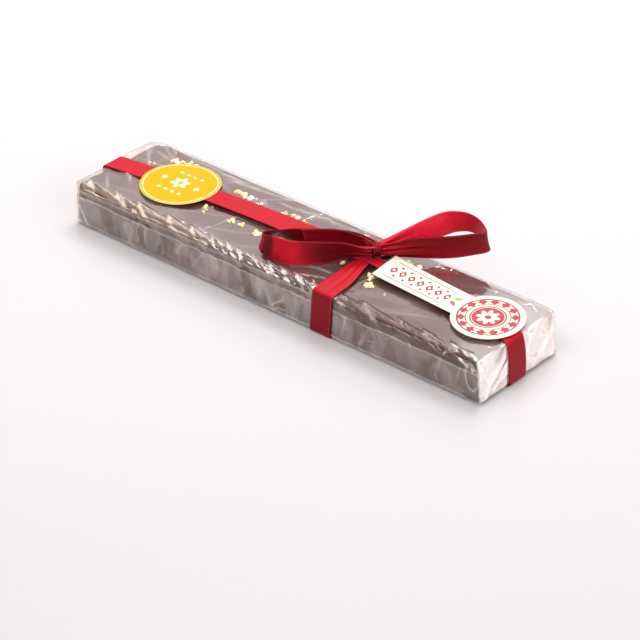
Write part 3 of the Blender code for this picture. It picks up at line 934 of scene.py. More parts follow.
@dataclass
class Ribbon:
    """The ribbon's width and thickness, and the straps' places round the bar."""

    shape: BarShape
    width: float = 10.0
    thick: float = 0.34
    offset: float = 0.5
    ring_radius: float = 1.5
    far_y: float = -2.1
    near_y: float = -2.0
    top_x: float = 28.1
    base_x: float = 26.8
    lift: float = 0.03
    crossing: tuple[float, float, float] = (28.4, 4.8, 21.2)
    crossing_sink: float = 0.3
    bend: float = 2.6
    shift: float = 2.2
    gathered: float = 5.5
    gather_long: float = 18.0
    gather_cross: float = 22.0
    tilt: float = 0.6
    tilt_reach: float = 80.0

    def ring(self, half_run: float, low: float, high: float, step: float) -> tuple[Array, Array, Array]:
        """Return run, height and arc length round a rounded rectangle, from the top middle towards +run.

        Args:
            half_run: Half of the rectangle's length.
            low: Its lower height.
            high: Its upper height.
            step: Spacing of the points.

        Returns:
            The three arrays.
        """
        radius = self.ring_radius
        arc = np.radians(np.linspace(90, 0, 13))
        corners = ((half_run - radius, high - radius, 0), (half_run - radius, low + radius, -90))
        corners += ((-half_run + radius, low + radius, -180), (-half_run + radius, high - radius, -270))
        path = [np.array([[0.0, high]])]
        for run, height, turn in corners:
            angle = arc + math.radians(turn)
            path.append(np.stack([run + radius * np.cos(angle), height + radius * np.sin(angle)], 1))
        points = np.concatenate([*path, [[0.0, high]]])
        travel = np.concatenate(([0.0], np.cumsum(np.hypot(*np.diff(points, axis=0).T))))
        stops = np.linspace(0, travel[-1], round(travel[-1] / step) + 1)[:-1]
        return np.interp(stops, travel, points[:, 0]), np.interp(stops, travel, points[:, 1]), stops

    @staticmethod
    def pull(run: Array, crossing: float, reach: float) -> Array:
        """Return how far a strap is drawn to the knot, from 0 to 1."""
        return 1 - smoothstep(0, reach, np.abs(run - crossing))

    @staticmethod
    def rise(run: Array, crossing: float, half_run: float, height: float) -> Array:
        """Return the height of a strap stretched straight from an edge up to the knot."""
        span = np.where(run > crossing, half_run - crossing, half_run + crossing)
        return height * np.clip(1 - np.abs(run - crossing) / span, 0, None)

    def long_rise(self, run: Array) -> Array:
        """Return the lift of the lengthwise strap above the top."""
        height = self.crossing[2] - self.shape.high - self.offset
        return self.rise(run, self.crossing[0], self.shape.length / 2, height)

    def long_grid(self, across: Array, step: float) -> tuple[Array, Array]:
        """Return the lengthwise strap's points and the arc length of its rows.

        Args:
            across: Places across the ribbon, from -1 to 1.
            step: Spacing of the rows.

        Returns:
            The points, rows by columns by three, and the arc lengths.
        """
        shape = self.shape
        half = shape.length / 2
        low, high = shape.low - self.offset, shape.high + self.offset
        run, height, stops = self.ring(half + self.offset, low, high, step)
        run, height, side = run[:, None], height[:, None], across[None, :]
        cross_x, cross_y, _ = self.crossing
        near = run > cross_x
        end_y = np.where(near, self.near_y, self.far_y)
        upper = height > (shape.low + shape.high) / 2
        share = np.clip(np.abs(run - cross_x) / np.where(near, half - cross_x, half + cross_x), 0, 1)
        pull = self.pull(run, cross_x, self.gather_long) * upper
        centre = np.where(upper, cross_y + (end_y - cross_y) * share**self.bend, end_y)
        wide = self.width + (self.gathered - self.width) * pull
        tilt = np.where(near | ~upper, 0, self.tilt * self.pull(run, cross_x, self.tilt_reach) * (1 - pull))
        pleat = 0.35 * pull * np.cos(2 * math.pi * 1.5 * side + 0.4)
        z = height + np.where(upper, self.long_rise(run), 0) + side * tilt + pleat
        x = run - shape.lean(run, height) + 0 * side
        return np.stack([x, centre + side * wide / 2, z], -1), stops

    def cross_grid(self, across: Array, step: float) -> tuple[Array, Array]:
        """Return the crosswise strap's points and the arc length of its rows, as for the lengthwise strap.

        Args:
            across: Places across the ribbon, from -1 to 1.
            step: Spacing of the rows.

        Returns:
            The points, rows by columns by three, and the arc lengths.
        """
        shape = self.shape
        half = shape.width / 2
        low, high = shape.low - self.offset + self.lift, shape.high + self.offset
        run, height, stops = self.ring(half + self.offset, low, high, step)
        run, height, side = run[:, None], height[:, None], across[None, :]
        cross_x, cross_y, cross_z = self.crossing
        level = np.clip((height - shape.low) / (shape.high - shape.low), 0, 1)
        upper = level > 0.5
        centre = self.base_x + (self.top_x - self.base_x) * level
        pull = self.pull(run, cross_y, self.gather_cross) * upper
        wide = self.width + (self.gathered - self.width) * pull
        shift = (cross_x - self.shift - centre) * pull
        rise = self.rise(run, cross_y, half, cross_z - self.crossing_sink - shape.high - self.offset) * upper
        flat = smoothstep(0, 6, half - np.abs(run)) * upper
        fold = 0.30 * flat * bell(side, 0.12, 0.10) + 0.16 * pull * np.cos(2 * math.pi * 1.5 * side)
        x = centre + shift + side * wide / 2
        return np.stack([x, run + 0 * side, height + rise - fold + 0.15 * flat], -1), stops


@dataclass
class Straps:
    """Both straps round the bar, as one ribbon each way."""

    ribbon: Ribbon
    step: float = 0.8
    columns: int = 15

    def build(self, satin: bpy.types.Material) -> list[bpy.types.Object]:
        """Make and dress both straps.

        Args:
            satin: The ribbon's material.

        Returns:
            The pieces.
        """
        across = np.linspace(-1, 1, self.columns)
        pieces = []
        for name, make in (("strap_along", self.ribbon.long_grid), ("strap_across", self.ribbon.cross_grid)):
            points, stops = make(across, self.step)
            rows = len(points)
            faces = grid_faces(rows, self.columns, wrap_u=True)
            lines = np.append(stops, stops[-1] + self.step) * MM
            uv = grid_uv(lines, across * self.ribbon.width / 2 * MM)
            # painted light: upward faces of the straps keep the lit satin, upright faces get painted shade
            nap = 0.42 + 0.58 * smoothstep(0.25, 0.85, np.abs(sheet_normals(points)[..., 2])).ravel()
            piece = make_object(name, points.reshape(-1, 3), faces, [satin], uv, {"nap": nap})
            add_wall(piece, self.ribbon.thick)
            pieces.append(declare(piece, "ribbon", "ribbon_bands"))
        return pieces


@dataclass
class Bow:
    """The bow: knot, both loops and the short tail, on one line turned from the bar's length.

    Each station holds the reach along the bow, the offset across it and the height, all from the knot, the
    lean of the ribbon's upper edge away from the front and along the bow in degrees, and its share of the
    full width. The fields from left_gleam to right_inner hold shares of a loop's length for plateau, which
    places the painted highlights and painted shade on the loops.
    """

    turn: float = 40.1
    knot: tuple[float, float, float] = (28.8, 7.1, 25.0)
    knot_half: tuple[float, float, float] = (2.2, 3.1, 3.15)
    width: float = 10.0
    thick: float = 0.34
    tail_slant: float = -3.0
    right: tuple = (
        (0.6, 0.4, 0.4, 0, 0, 0.42),
        (4.0, 0.7, 1.4, 2, 0, 0.56),
        (11.0, 2.0, 3.6, 8, 0, 0.82),
        (18.0, 4.5, 5.2, 15, 0, 0.97),
        (25.0, 8.2, 6.3, 14, 0, 1.0),
        (31.0, 10.6, 6.5, -4, 0, 1.0),
        (36.8, 11.0, 5.8, -15, -3, 1.0),
        (41.2, 7.9, 4.6, -15, -7, 1.0),
        (43.7, 2.6, 3.4, -14, -10, 1.0),
        (42.8, -0.2, 3.4, -9, -7, 1.0),
        (38.0, -2.3, 3.8, -3, -2, 1.0),
        (31.0, -3.8, 3.6, 0, 0, 1.0),
        (24.0, -4.2, 3.3, 0, 0, 0.98),
        (15.0, -3.1, 2.4, 0, 0, 0.88),
        (7.0, -1.7, 0.8, 0, 0, 0.68),
        (0.6, -0.6, 0.0, 0, 0, 0.45),
    )
    left: tuple = (
        (-0.6, -0.8, 0.0, 0, 0, 0.42),
        (-5.5, -1.6, 0.1, -20, 0, 0.62),
        (-12.5, -1.8, 0.3, -14, 0, 0.86),
        (-20.0, -2.4, -0.2, 0, 0, 0.96),
        (-27.0, -2.7, -0.5, 13, 0, 1.0),
        (-34.0, -1.9, -0.7, 26, 0, 1.0),
        (-40.3, 1.0, -0.5, 12, 4, 1.0),
        (-44.8, 4.4, -0.3, 0, 10, 0.84),
        (-45.7, 7.4, 0.2, -10, 12, 0.70),
        (-43.3, 9.8, 0.4, -30, 12, 0.84),
        (-38.8, 10.6, 0.9, -44, 6, 1.0),
        (-33.0, 9.2, 1.0, -30, 0, 1.0),
        (-25.0, 7.3, 0.9, -14, 0, 0.98),
        (-16.0, 6.6, 1.0, -10, 0, 0.94),
        (-7.5, 4.2, 1.2, -6, 0, 0.72),
        (-0.6, 0.7, 0.4, 0, 0, 0.42),
    )
    tail: tuple = (
        (-0.6, 0.0, 0.2, 0, 0, 0.40),
        (-6.5, 2.4, 1.2, 0, 0, 0.66),
        (-14.0, 4.6, 1.4, 2, 0, 0.90),
        (-21.0, 5.0, 1.2, 4, 0, 0.97),
        (-28.3, 4.8, 0.9, 6, 0, 1.0),
    )
    columns: int = 25
    pleats: float = 2.5
    fine_pleats: float = 4.5
    pleat_depth: float = 2.2
    hollow: float = 0.25
    left_gleam: tuple[float, float, float, float] = (0.27, 0.35, 0.40, 0.425)
    left_shadow: tuple[float, float, float, float] = (0.395, 0.435, 0.447, 0.475)
    left_rim: tuple[float, float, float, float] = (0.465, 0.475, 0.52, 0.54)
    left_far: tuple[float, float, float, float] = (0.54, 0.60, 0.82, 0.92)
    left_near: tuple[float, float, float, float] = (0.04, 0.10, 0.20, 0.31)
    right_inner: tuple[float, float, float, float] = (-0.2, -0.1, 0.52, 0.565)
    # base and least value of the satin's painted light
    painted_light_base: float = 0.28
    painted_light_least: float = 0.12

    def world(self, points: Array) -> Array:
        """Return points given in the bow's own directions as points of the frame.

        Args:
            points: Reach along the bow, offset across it and height, from the knot.

        Returns:
            The points.
        """
        cosine, sine = math.cos(math.radians(self.turn)), math.sin(math.radians(self.turn))
        along, across, height = points[..., 0], points[..., 1], points[..., 2]
        turned = np.stack([cosine * along - sine * across, sine * along + cosine * across, height], -1)
        return turned + np.array(self.knot)

    def strip(self, stations: tuple, rows: int, slant: float, phase: float) -> Array:
        """Return the grid of a ribbon on edge through the stations, pleated where it is drawn together.

        The point is the centre line plus v times the leaning width. Near the knot, pleats move it along the
        normal by depth * (1.04 - share)^1.2 * (cos(2 pi n v + phase) + 0.4 cos(2 pi m v + 2 phase)), and
        elsewhere a slight hollow moves it by (1 - 4 v^2) / 4.

        Args:
            stations: The ribbon's stations.
            rows: Number of rows along it.
            slant: How much further the lower edge of its end reaches than the upper edge.
            phase: Start of the pleats' wave.

        Returns:
            The points, rows by columns by three.
        """
        share_along = np.linspace(0, 1, rows)
        values = smooth_curve(stations, share_along)[:, :, None]
        along, across, height, back, onward, share = (values[:, k] for k in range(6))
        v = np.linspace(-0.5, 0.5, self.columns)[None, :]
        half = v * self.width * share
        back, onward = np.radians(back), np.radians(onward)
        cut = slant * v * (np.clip(share_along - 0.6, 0, None) / 0.4)[:, None]
        points = np.stack(
            [
                along + cut + half * np.sin(onward),
                across + half * np.sin(back),
                height + half * np.cos(back) * np.cos(onward),
            ],
            -1,
        )
        normal = sheet_normals(points)
        at_knot = smoothstep(0.50, 0.96, np.abs(2 * share_along - 1))[:, None]
        gathered = np.clip(1.04 - share, 0, 1) ** 1.2 * at_knot
        drift = 0.6 * np.sin(9 * share_along)[:, None]
        wave = np.cos(2 * math.pi * self.pleats * v + phase + drift)
        wave = wave + 0.4 * np.cos(2 * math.pi * self.fine_pleats * v + 2 * phase)
        hollow = self.hollow * (1 - 4 * v**2) * (1 - gathered)
        return points + normal * (self.pleat_depth * gathered * wave + hollow)[..., None]

    def nap(self, points: Array, name: str) -> Array:
        """Return how lit the satin looks: its base plus 0.75 times the rise of the side that faces the front.

        All of it is painted light and shade. Lighter lines along creases are painted highlights. The left loop
        adds a painted gleam and a painted shadow before its turn, a painted lighter rim and far strand and a
        painted deeper near strand. The right loop's inner strand is painted lighter, and the tail has a painted
        light cut edge.

        Args:
            points: The strip's grid.
            name: The strip's name.

        Returns:
            Values from 0 to 1, rows by columns.
        """
        normal = sheet_normals(points)
        share = np.linspace(0, 1, len(points))[:, None]
        v = np.linspace(-0.5, 0.5, self.columns)[None, :]
        # painted highlights: lighter lines along creases
        crease = bell(v, 0.16 + 0.08 * np.sin(7 * share), 0.03) * (0.5 + 0.5 * np.sin(23 * share))
        nap = self.painted_light_base - 0.75 * np.sign(normal[..., 1]) * normal[..., 2] + 0.16 * crease
        # painted light and shade on the left loop: gleam, shadow, rim, far strand and near strand
        if name == "loop_left":
            nap += 0.75 * self.plateau(share, self.left_gleam) * smoothstep(-0.5, 0.15, v)
            nap -= 0.55 * self.plateau(share + 0.01 * v, self.left_shadow)
            nap += 0.40 * self.plateau(share, self.left_rim)
            nap += 0.55 * self.plateau(share, self.left_far)
            nap -= 0.26 * self.plateau(share, self.left_near) * smoothstep(0.45, 0.1, v)
        # painted light on the right loop's inner strand
        if name == "loop_right":
            nap += 0.60 * self.plateau(share, self.right_inner)
        # painted highlight on the tail's cut edge
        if name == "ribbon_tail":
            nap += 0.8 * smoothstep(0.965, 0.985, share)
        return np.clip(nap, self.painted_light_least, 1)

    @staticmethod
    def plateau(share: Array, stops: tuple[float, float, float, float]) -> Array:
        """Return 1 between the two middle stops, falling smoothly to 0 at the outer ones."""
        begin, full, fading, gone = stops
        return smoothstep(begin, full, share) * (1 - smoothstep(fading, gone, share))

    def knot_grid(self, rows: int, columns: int) -> Array:
        """Return the knot: a barrel round the bow's line, r = (1 - a^4)^(1/2), with creases round it.

        Args:
            rows: Number of rings.
            columns: Points in a ring.

        Returns:
            The points, rings by columns by three, in the bow's own directions.
        """
        a = np.sin(np.linspace(-math.pi / 2, math.pi / 2, rows))[:, None] * 0.9995
        turn = np.linspace(0, 2 * math.pi, columns, endpoint=False)[None, :]
        along, across, height = self.knot_half
        crease = 0.055 * np.cos(11 * a + 0.9 * np.sin(turn) + 0.5)
        crease = crease + 0.03 * np.cos(19 * a + 2.0 * np.cos(turn + 1))
        radius = np.sqrt(1 - a**4) * (1 + crease * (1 - a**2)) * (1 - 0.07 * bell(a, 0.0, 0.35))
        rings = [a * along + 0 * turn, radius * np.cos(turn) * across, radius * np.sin(turn) * height]
        return np.stack(rings, -1)

    def build(self, satin: bpy.types.Material, inner: bpy.types.Material) -> list[bpy.types.Object]:
        """Make and dress the loops, the tail and the knot.

        Args:
            satin: Material of the ribbon's outer side.
            inner: A lighter copy of the satin, painted light on the side of the right loop that faces into it.

        Returns:
            The pieces.
        """
        pieces = []
        strips = (
            ("loop_right", self.right, 200, 0.0, 0.3),
            ("loop_left", self.left, 200, 0.0, 2.0),
            ("ribbon_tail", self.tail, 70, self.tail_slant, 1.1),
        )
        for name, stations, rows, slant, phase in strips:
            points = self.world(self.strip(stations, rows, slant, phase))
            steps = np.linalg.norm(np.diff(points[:, self.columns // 2], axis=0), axis=1)
            travel = np.concatenate(([0.0], np.cumsum(steps)))
            uv = grid_uv(travel * MM, np.linspace(-0.5, 0.5, self.columns) * self.width * MM)
            # the right loop's inner side gets the lighter copy of the satin, painted light
            sides = [inner, satin] if name == "loop_right" else [satin, satin]
            values = {"nap": self.nap(points, name).ravel()}
            faces = grid_faces(rows, self.columns)
            piece = make_object(name, points.reshape(-1, 3), faces, sides, uv, values)
            add_wall(piece, self.thick, 1)
            pieces.append(declare(piece, "ribbon", "bow"))
        rows, columns = 60, 72
        points = self.world(self.knot_grid(rows, columns))
        faces = grid_faces(rows, columns, wrap_v=True)
        lines_u = np.linspace(0, 2 * self.knot_half[0], rows) * MM
        lines_v = np.linspace(-4.0, 4.0, columns + 1) * MM
        uv = grid_uv(lines_u, lines_v)
        # painted light: the knot lighter towards its top and darker below
        nap = 0.05 + 0.40 * smoothstep(0.0, 1.0, (points[..., 2] - self.knot[2]) / self.knot_half[2]).ravel()
        knot = make_object("knot", points.reshape(-1, 3), faces, [satin], uv, {"nap": nap})
        close_ends(knot)
        pieces.append(declare(knot, "ribbon", "bow"))
        return pieces


def close_ends(piece: bpy.types.Object) -> None:
    """Merge what meets at the poles, fill what is open and turn all faces outwards.

    Args:
        piece: The piece to close.
    """
    work = bmesh.new()
    work.from_mesh(piece.data)
    bmesh.ops.remove_doubles(work, verts=work.verts, dist=0.02 * MM)
    bmesh.ops.holes_fill(work, edges=[edge for edge in work.edges if edge.is_boundary], sides=0)
    bmesh.ops.recalc_face_normals(work, faces=work.faces)
    work.to_mesh(piece.data)
    work.free()


@dataclass
class Crumbs:
    """Chopped nuts on the chocolate: clusters of a few broken lumps, by x, y, radius and number of lumps."""

    top: float = 18.75
    seed: int = 5
    spots: tuple = (
        (-92.3, 8.4, 1.0, 2), (-84.8, 15.8, 1.7, 5), (-78.1, 18.8, 1.5, 4), (-80.5, 17.0, 0.9, 3),
        (-51.3, -4.8, 1.3, 4), (-50.0, -2.6, 0.7, 2), (-48.7, -7.8, 0.9, 2), (-50.1, -19.5, 0.9, 2),
        (-46.7, -23.0, 0.7, 1), (-48.0, 12.9, 1.7, 6), (-44.6, 12.7, 1.6, 5), (-41.6, 13.0, 1.4, 5),
        (-36.5, 12.1, 1.2, 4), (-25.1, 11.3, 1.1, 4), (-23.3, 12.9, 1.0, 3), (-17.8, 13.3, 1.5, 4),
        (-12.8, 12.4, 1.0, 3), (-35.5, -5.6, 1.7, 5), (-31.1, -5.4, 1.4, 4), (-21.2, -7.0, 1.5, 4),
        (-10.8, -4.6, 0.9, 2), (-16.3, -5.0, 1.1, 4), (20.4, -1.6, 1.4, 3), (38.0, -7.6, 1.4, 4),
        (35.4, -3.4, 1.2, 3), (44.0, 15.4, 1.3, 4), (39.1, 15.2, 1.1, 3), (45.9, -9.6, 0.8, 3),
        (33.6, -2.4, 1.2, 3),
    )

    def lumps(self) -> list[tuple[Array, float]]:
        """Return each lump's centre and radius, scattered in its cluster."""
        draw = np.random.default_rng(self.seed)
        found = []
        for x, y, radius, count in self.spots:
            for _ in range(count):
                size = radius * draw.uniform(0.35, 0.75)
                away = draw.uniform(-1, 1, 2) * radius * np.array((1.3, 0.8))
                found.append((np.array((x + away[0], y + away[1], self.top)), size))
        return found

    def build(self, nuts: bpy.types.Material) -> bpy.types.Object:
        """Make all lumps as one piece.

        Each lump is an icosphere whose points are scaled by 1 + 0.28 * the sum of two facet noises of their
        direction, squashed and turned at random, with its middle a quarter of its radius above the chocolate.

        Args:
            nuts: Their material.

        Returns:
            The piece.
        """
        work = bmesh.new()
        bmesh.ops.create_icosphere(work, subdivisions=3, radius=1.0)
        ball = np.array([vert.co for vert in work.verts])
        faces = np.array([[vert.index for vert in face.verts] for face in work.faces])
        work.free()
        draw = np.random.default_rng(self.seed + 1)
        noise = Lattice(self.seed + 2)
        points, triangles, green = [], [], []
        for number, (centre, radius) in enumerate(self.lumps()):
            shift = draw.uniform(0, 50, 3)
            rough = noise.facets(ball[:, 0] * 1.4 + shift[0], ball[:, 1] * 1.4 + shift[1])
            rough += noise.facets(ball[:, 2] * 1.7 + shift[2], ball[:, 0] * 1.7 + shift[1])
            lump = ball * (1 + 0.28 * rough)[:, None] * draw.uniform((0.8, 0.7, 0.5), (1.3, 1.1, 0.8))
            turn = np.array(Matrix.Rotation(draw.uniform(0, math.tau), 3, "Z"))
            points.append(lump @ turn.T * radius + centre + (0, 0, 0.25 * radius))
            triangles.append(faces + number * len(ball))
            green.append(np.full(len(ball), draw.choice((0.0, 0.15, 0.3, 0.8))))
        corners, corner_faces = np.concatenate(points), np.concatenate(triangles)
        values = {"green": np.concatenate(green)}
        piece = make_object("nut_crumbs", corners, corner_faces, [nuts], values=values)
        return declare(piece, "film", "wrapped_bar")


@dataclass
class Bar:
    """The bar in the film: a white nougat core with a sleeve of dark chocolate, open at the cut ends."""

    shape: BarShape
    inset: float = 0.55
    far_inset: float = 0.6
    near_inset: float = 1.9
    far_slope: float = 2.6
    core_reach: float = 0.5
    wall: float = 1.0
    radius: float = 1.35
    middle: float = 9.9

    def section(self, inset: float, columns: int) -> tuple[Array, Array]:
        """Return y and z round a rounded rectangle that lies inset from the film.

        Args:
            inset: Distance from the film.
            columns: Number of points.

        Returns:
            The two arrays.
        """
        shape = self.shape
        half, radius = shape.width / 2 - inset, self.radius
        low, high = shape.low + inset, shape.high - inset
        corners = ((half, high, 0), (-half, high, 90), (-half, low, 180), (half, low, 270))
        angle = np.radians(np.linspace(0, 90, 9))
        path = []
        for y, z, turn in corners:
            bend = angle + math.radians(turn)
            centre = (y - math.copysign(radius, y), z - (radius if z == high else -radius))
            path.append(np.stack([centre[0] + radius * np.cos(bend), centre[1] + radius * np.sin(bend)], 1))
        points = np.concatenate([*path, path[0][:1]])
        travel = np.concatenate(([0.0], np.cumsum(np.hypot(*np.diff(points, axis=0).T))))
        stops = np.linspace(0, travel[-1], columns, endpoint=False)
        return np.interp(stops, travel, points[:, 0]), np.interp(stops, travel, points[:, 1])

    def slanted(self, points: Array) -> Array:
        """Draw the far end in towards its top by slope * smoothstep of the height.

        Args:
            points: Points of the bar.

        Returns:
            The moved points.
        """
        result = points.copy()
        share = smoothstep(-self.shape.length / 2 + 14, -self.shape.length / 2, points[:, 0])
        rear = 0.35 + 0.65 * smoothstep(-18, -6, points[:, 1])
        result[:, 0] += self.far_slope * share * rear * smoothstep(9, self.shape.high - 0.6, points[:, 2])
        return result

    def build(self, chocolate: bpy.types.Material, nougat: bpy.types.Material) -> list[bpy.types.Object]:
        """Make and dress the sleeve and the core.

        The sleeve is a profile carried out along the bar and back inside it, with an outer side that waves by
        smooth noise. The core is a box, rough at its ends.

        Args:
            chocolate: Material of the sleeve.
            nougat: Material of the core.

        Returns:
            The pieces.
        """
        columns = 260
        low, high = -self.shape.length / 2 + self.far_inset, self.shape.length / 2 - self.near_inset
        outer_y, outer_z = self.section(self.inset, columns)
        inner_y, inner_z = self.section(self.inset + self.wall, columns)
        out = np.linspace(low, high, 240)
        back = np.linspace(high, low, 12)
        ripple = Lattice(21)
        turn = np.arange(columns) / columns * 40
        wave = 0.22 * ripple.smooth(out[:, None] / 9, turn[None, :])
        wave = wave + 0.08 * ripple.smooth(out[:, None] / 3, turn[None, :] * 3)
        fade = smoothstep(0, 3, (high - low) / 2 - np.abs(out - (high + low) / 2))[:, None]
        shrink = (1 - (0.004 - 0.010 * wave)) * (1 - 0.010 * (1 - fade))
        outside = [out[:, None] + 0 * wave, outer_y * shrink, self.middle + (outer_z - self.middle) * shrink]
        flat = 0 * back[:, None]
        inside = [back[:, None] + 0 * turn, inner_y + flat, inner_z + flat]
        sleeve = np.concatenate([np.stack(outside, -1), np.stack(inside, -1)])
        sleeve = self.slanted(self.shape.finished(sleeve.reshape(-1, 3), 0.3))
        faces = grid_faces(len(out) + len(back), columns, wrap_u=True, wrap_v=True)
        coating = make_object("chocolate_coating", sleeve, faces, [chocolate])
        close_ends(coating)
        core = BarShape(width=self.shape.width, edge=0.8)
        core_inset = self.inset + self.wall + 0.1
        xs = np.linspace(low - self.core_reach, high + self.core_reach, 60)
        ys = np.linspace(-core.width / 2 + core_inset, core.width / 2 - core_inset, 60)
        zs = np.linspace(core.low + core_inset, core.high - core_inset, 24)
        points, quads = core.shell(xs, ys, zs)
        rough = Lattice(22).smooth(points[:, 1] / 2.2, points[:, 2] / 2.2)
        at_end = (points[:, 0] == points[:, 0].min()) | (points[:, 0] == points[:, 0].max())
        points[:, 0] += 0.22 * rough * np.sign(points[:, 0]) * at_end
        points[:, 0] -= self.shape.lean(points[:, 0], points[:, 2])
        filling = make_object("nougat_core", self.slanted(points), quads, [nougat])
        return [declare(coating, "film", "wrapped_bar"), declare(filling, "film", "wrapped_bar")]


class FilmRelief:
    """What the film adds to its plain form at each point.

    The push moves a point along its normal and the shift moves it freely, both in millimetres. Haze is the
    milky cover, which in places also paints highlights, glints and brighter patches. Warm is the share of the
    warm tint, which paints the gathered ridge's highlights peach and warms the front and the near end a little.
    Layers is the number of further layers, which is below 0 where the film clings, and crinkle the strength of
    the fine creases.
    """

    LEAST_LAYERS = -0.75
    MOST_LAYERS = 3.0
    MOST_HAZE = 0.9

    def __init__(self, count: int) -> None:
        """Start with a flat, clear, single layer."""
        self.push = np.zeros(count)
        self.shift = np.zeros((count, 3))
        self.haze = np.zeros(count)
        self.warm = np.zeros(count)
        self.layers = np.zeros(count)
        self.crinkle = np.zeros(count)

    def values(self) -> dict[str, Array]:
        """Return the numbers that the film's material reads."""
        return {
            "haze": np.clip(self.haze, 0, self.MOST_HAZE),
            "warm": np.clip(self.warm, 0, 1),
            "layers": np.clip(self.layers, self.LEAST_LAYERS, self.MOST_LAYERS),
            "crinkle": np.clip(self.crinkle, 0, 1),
        }


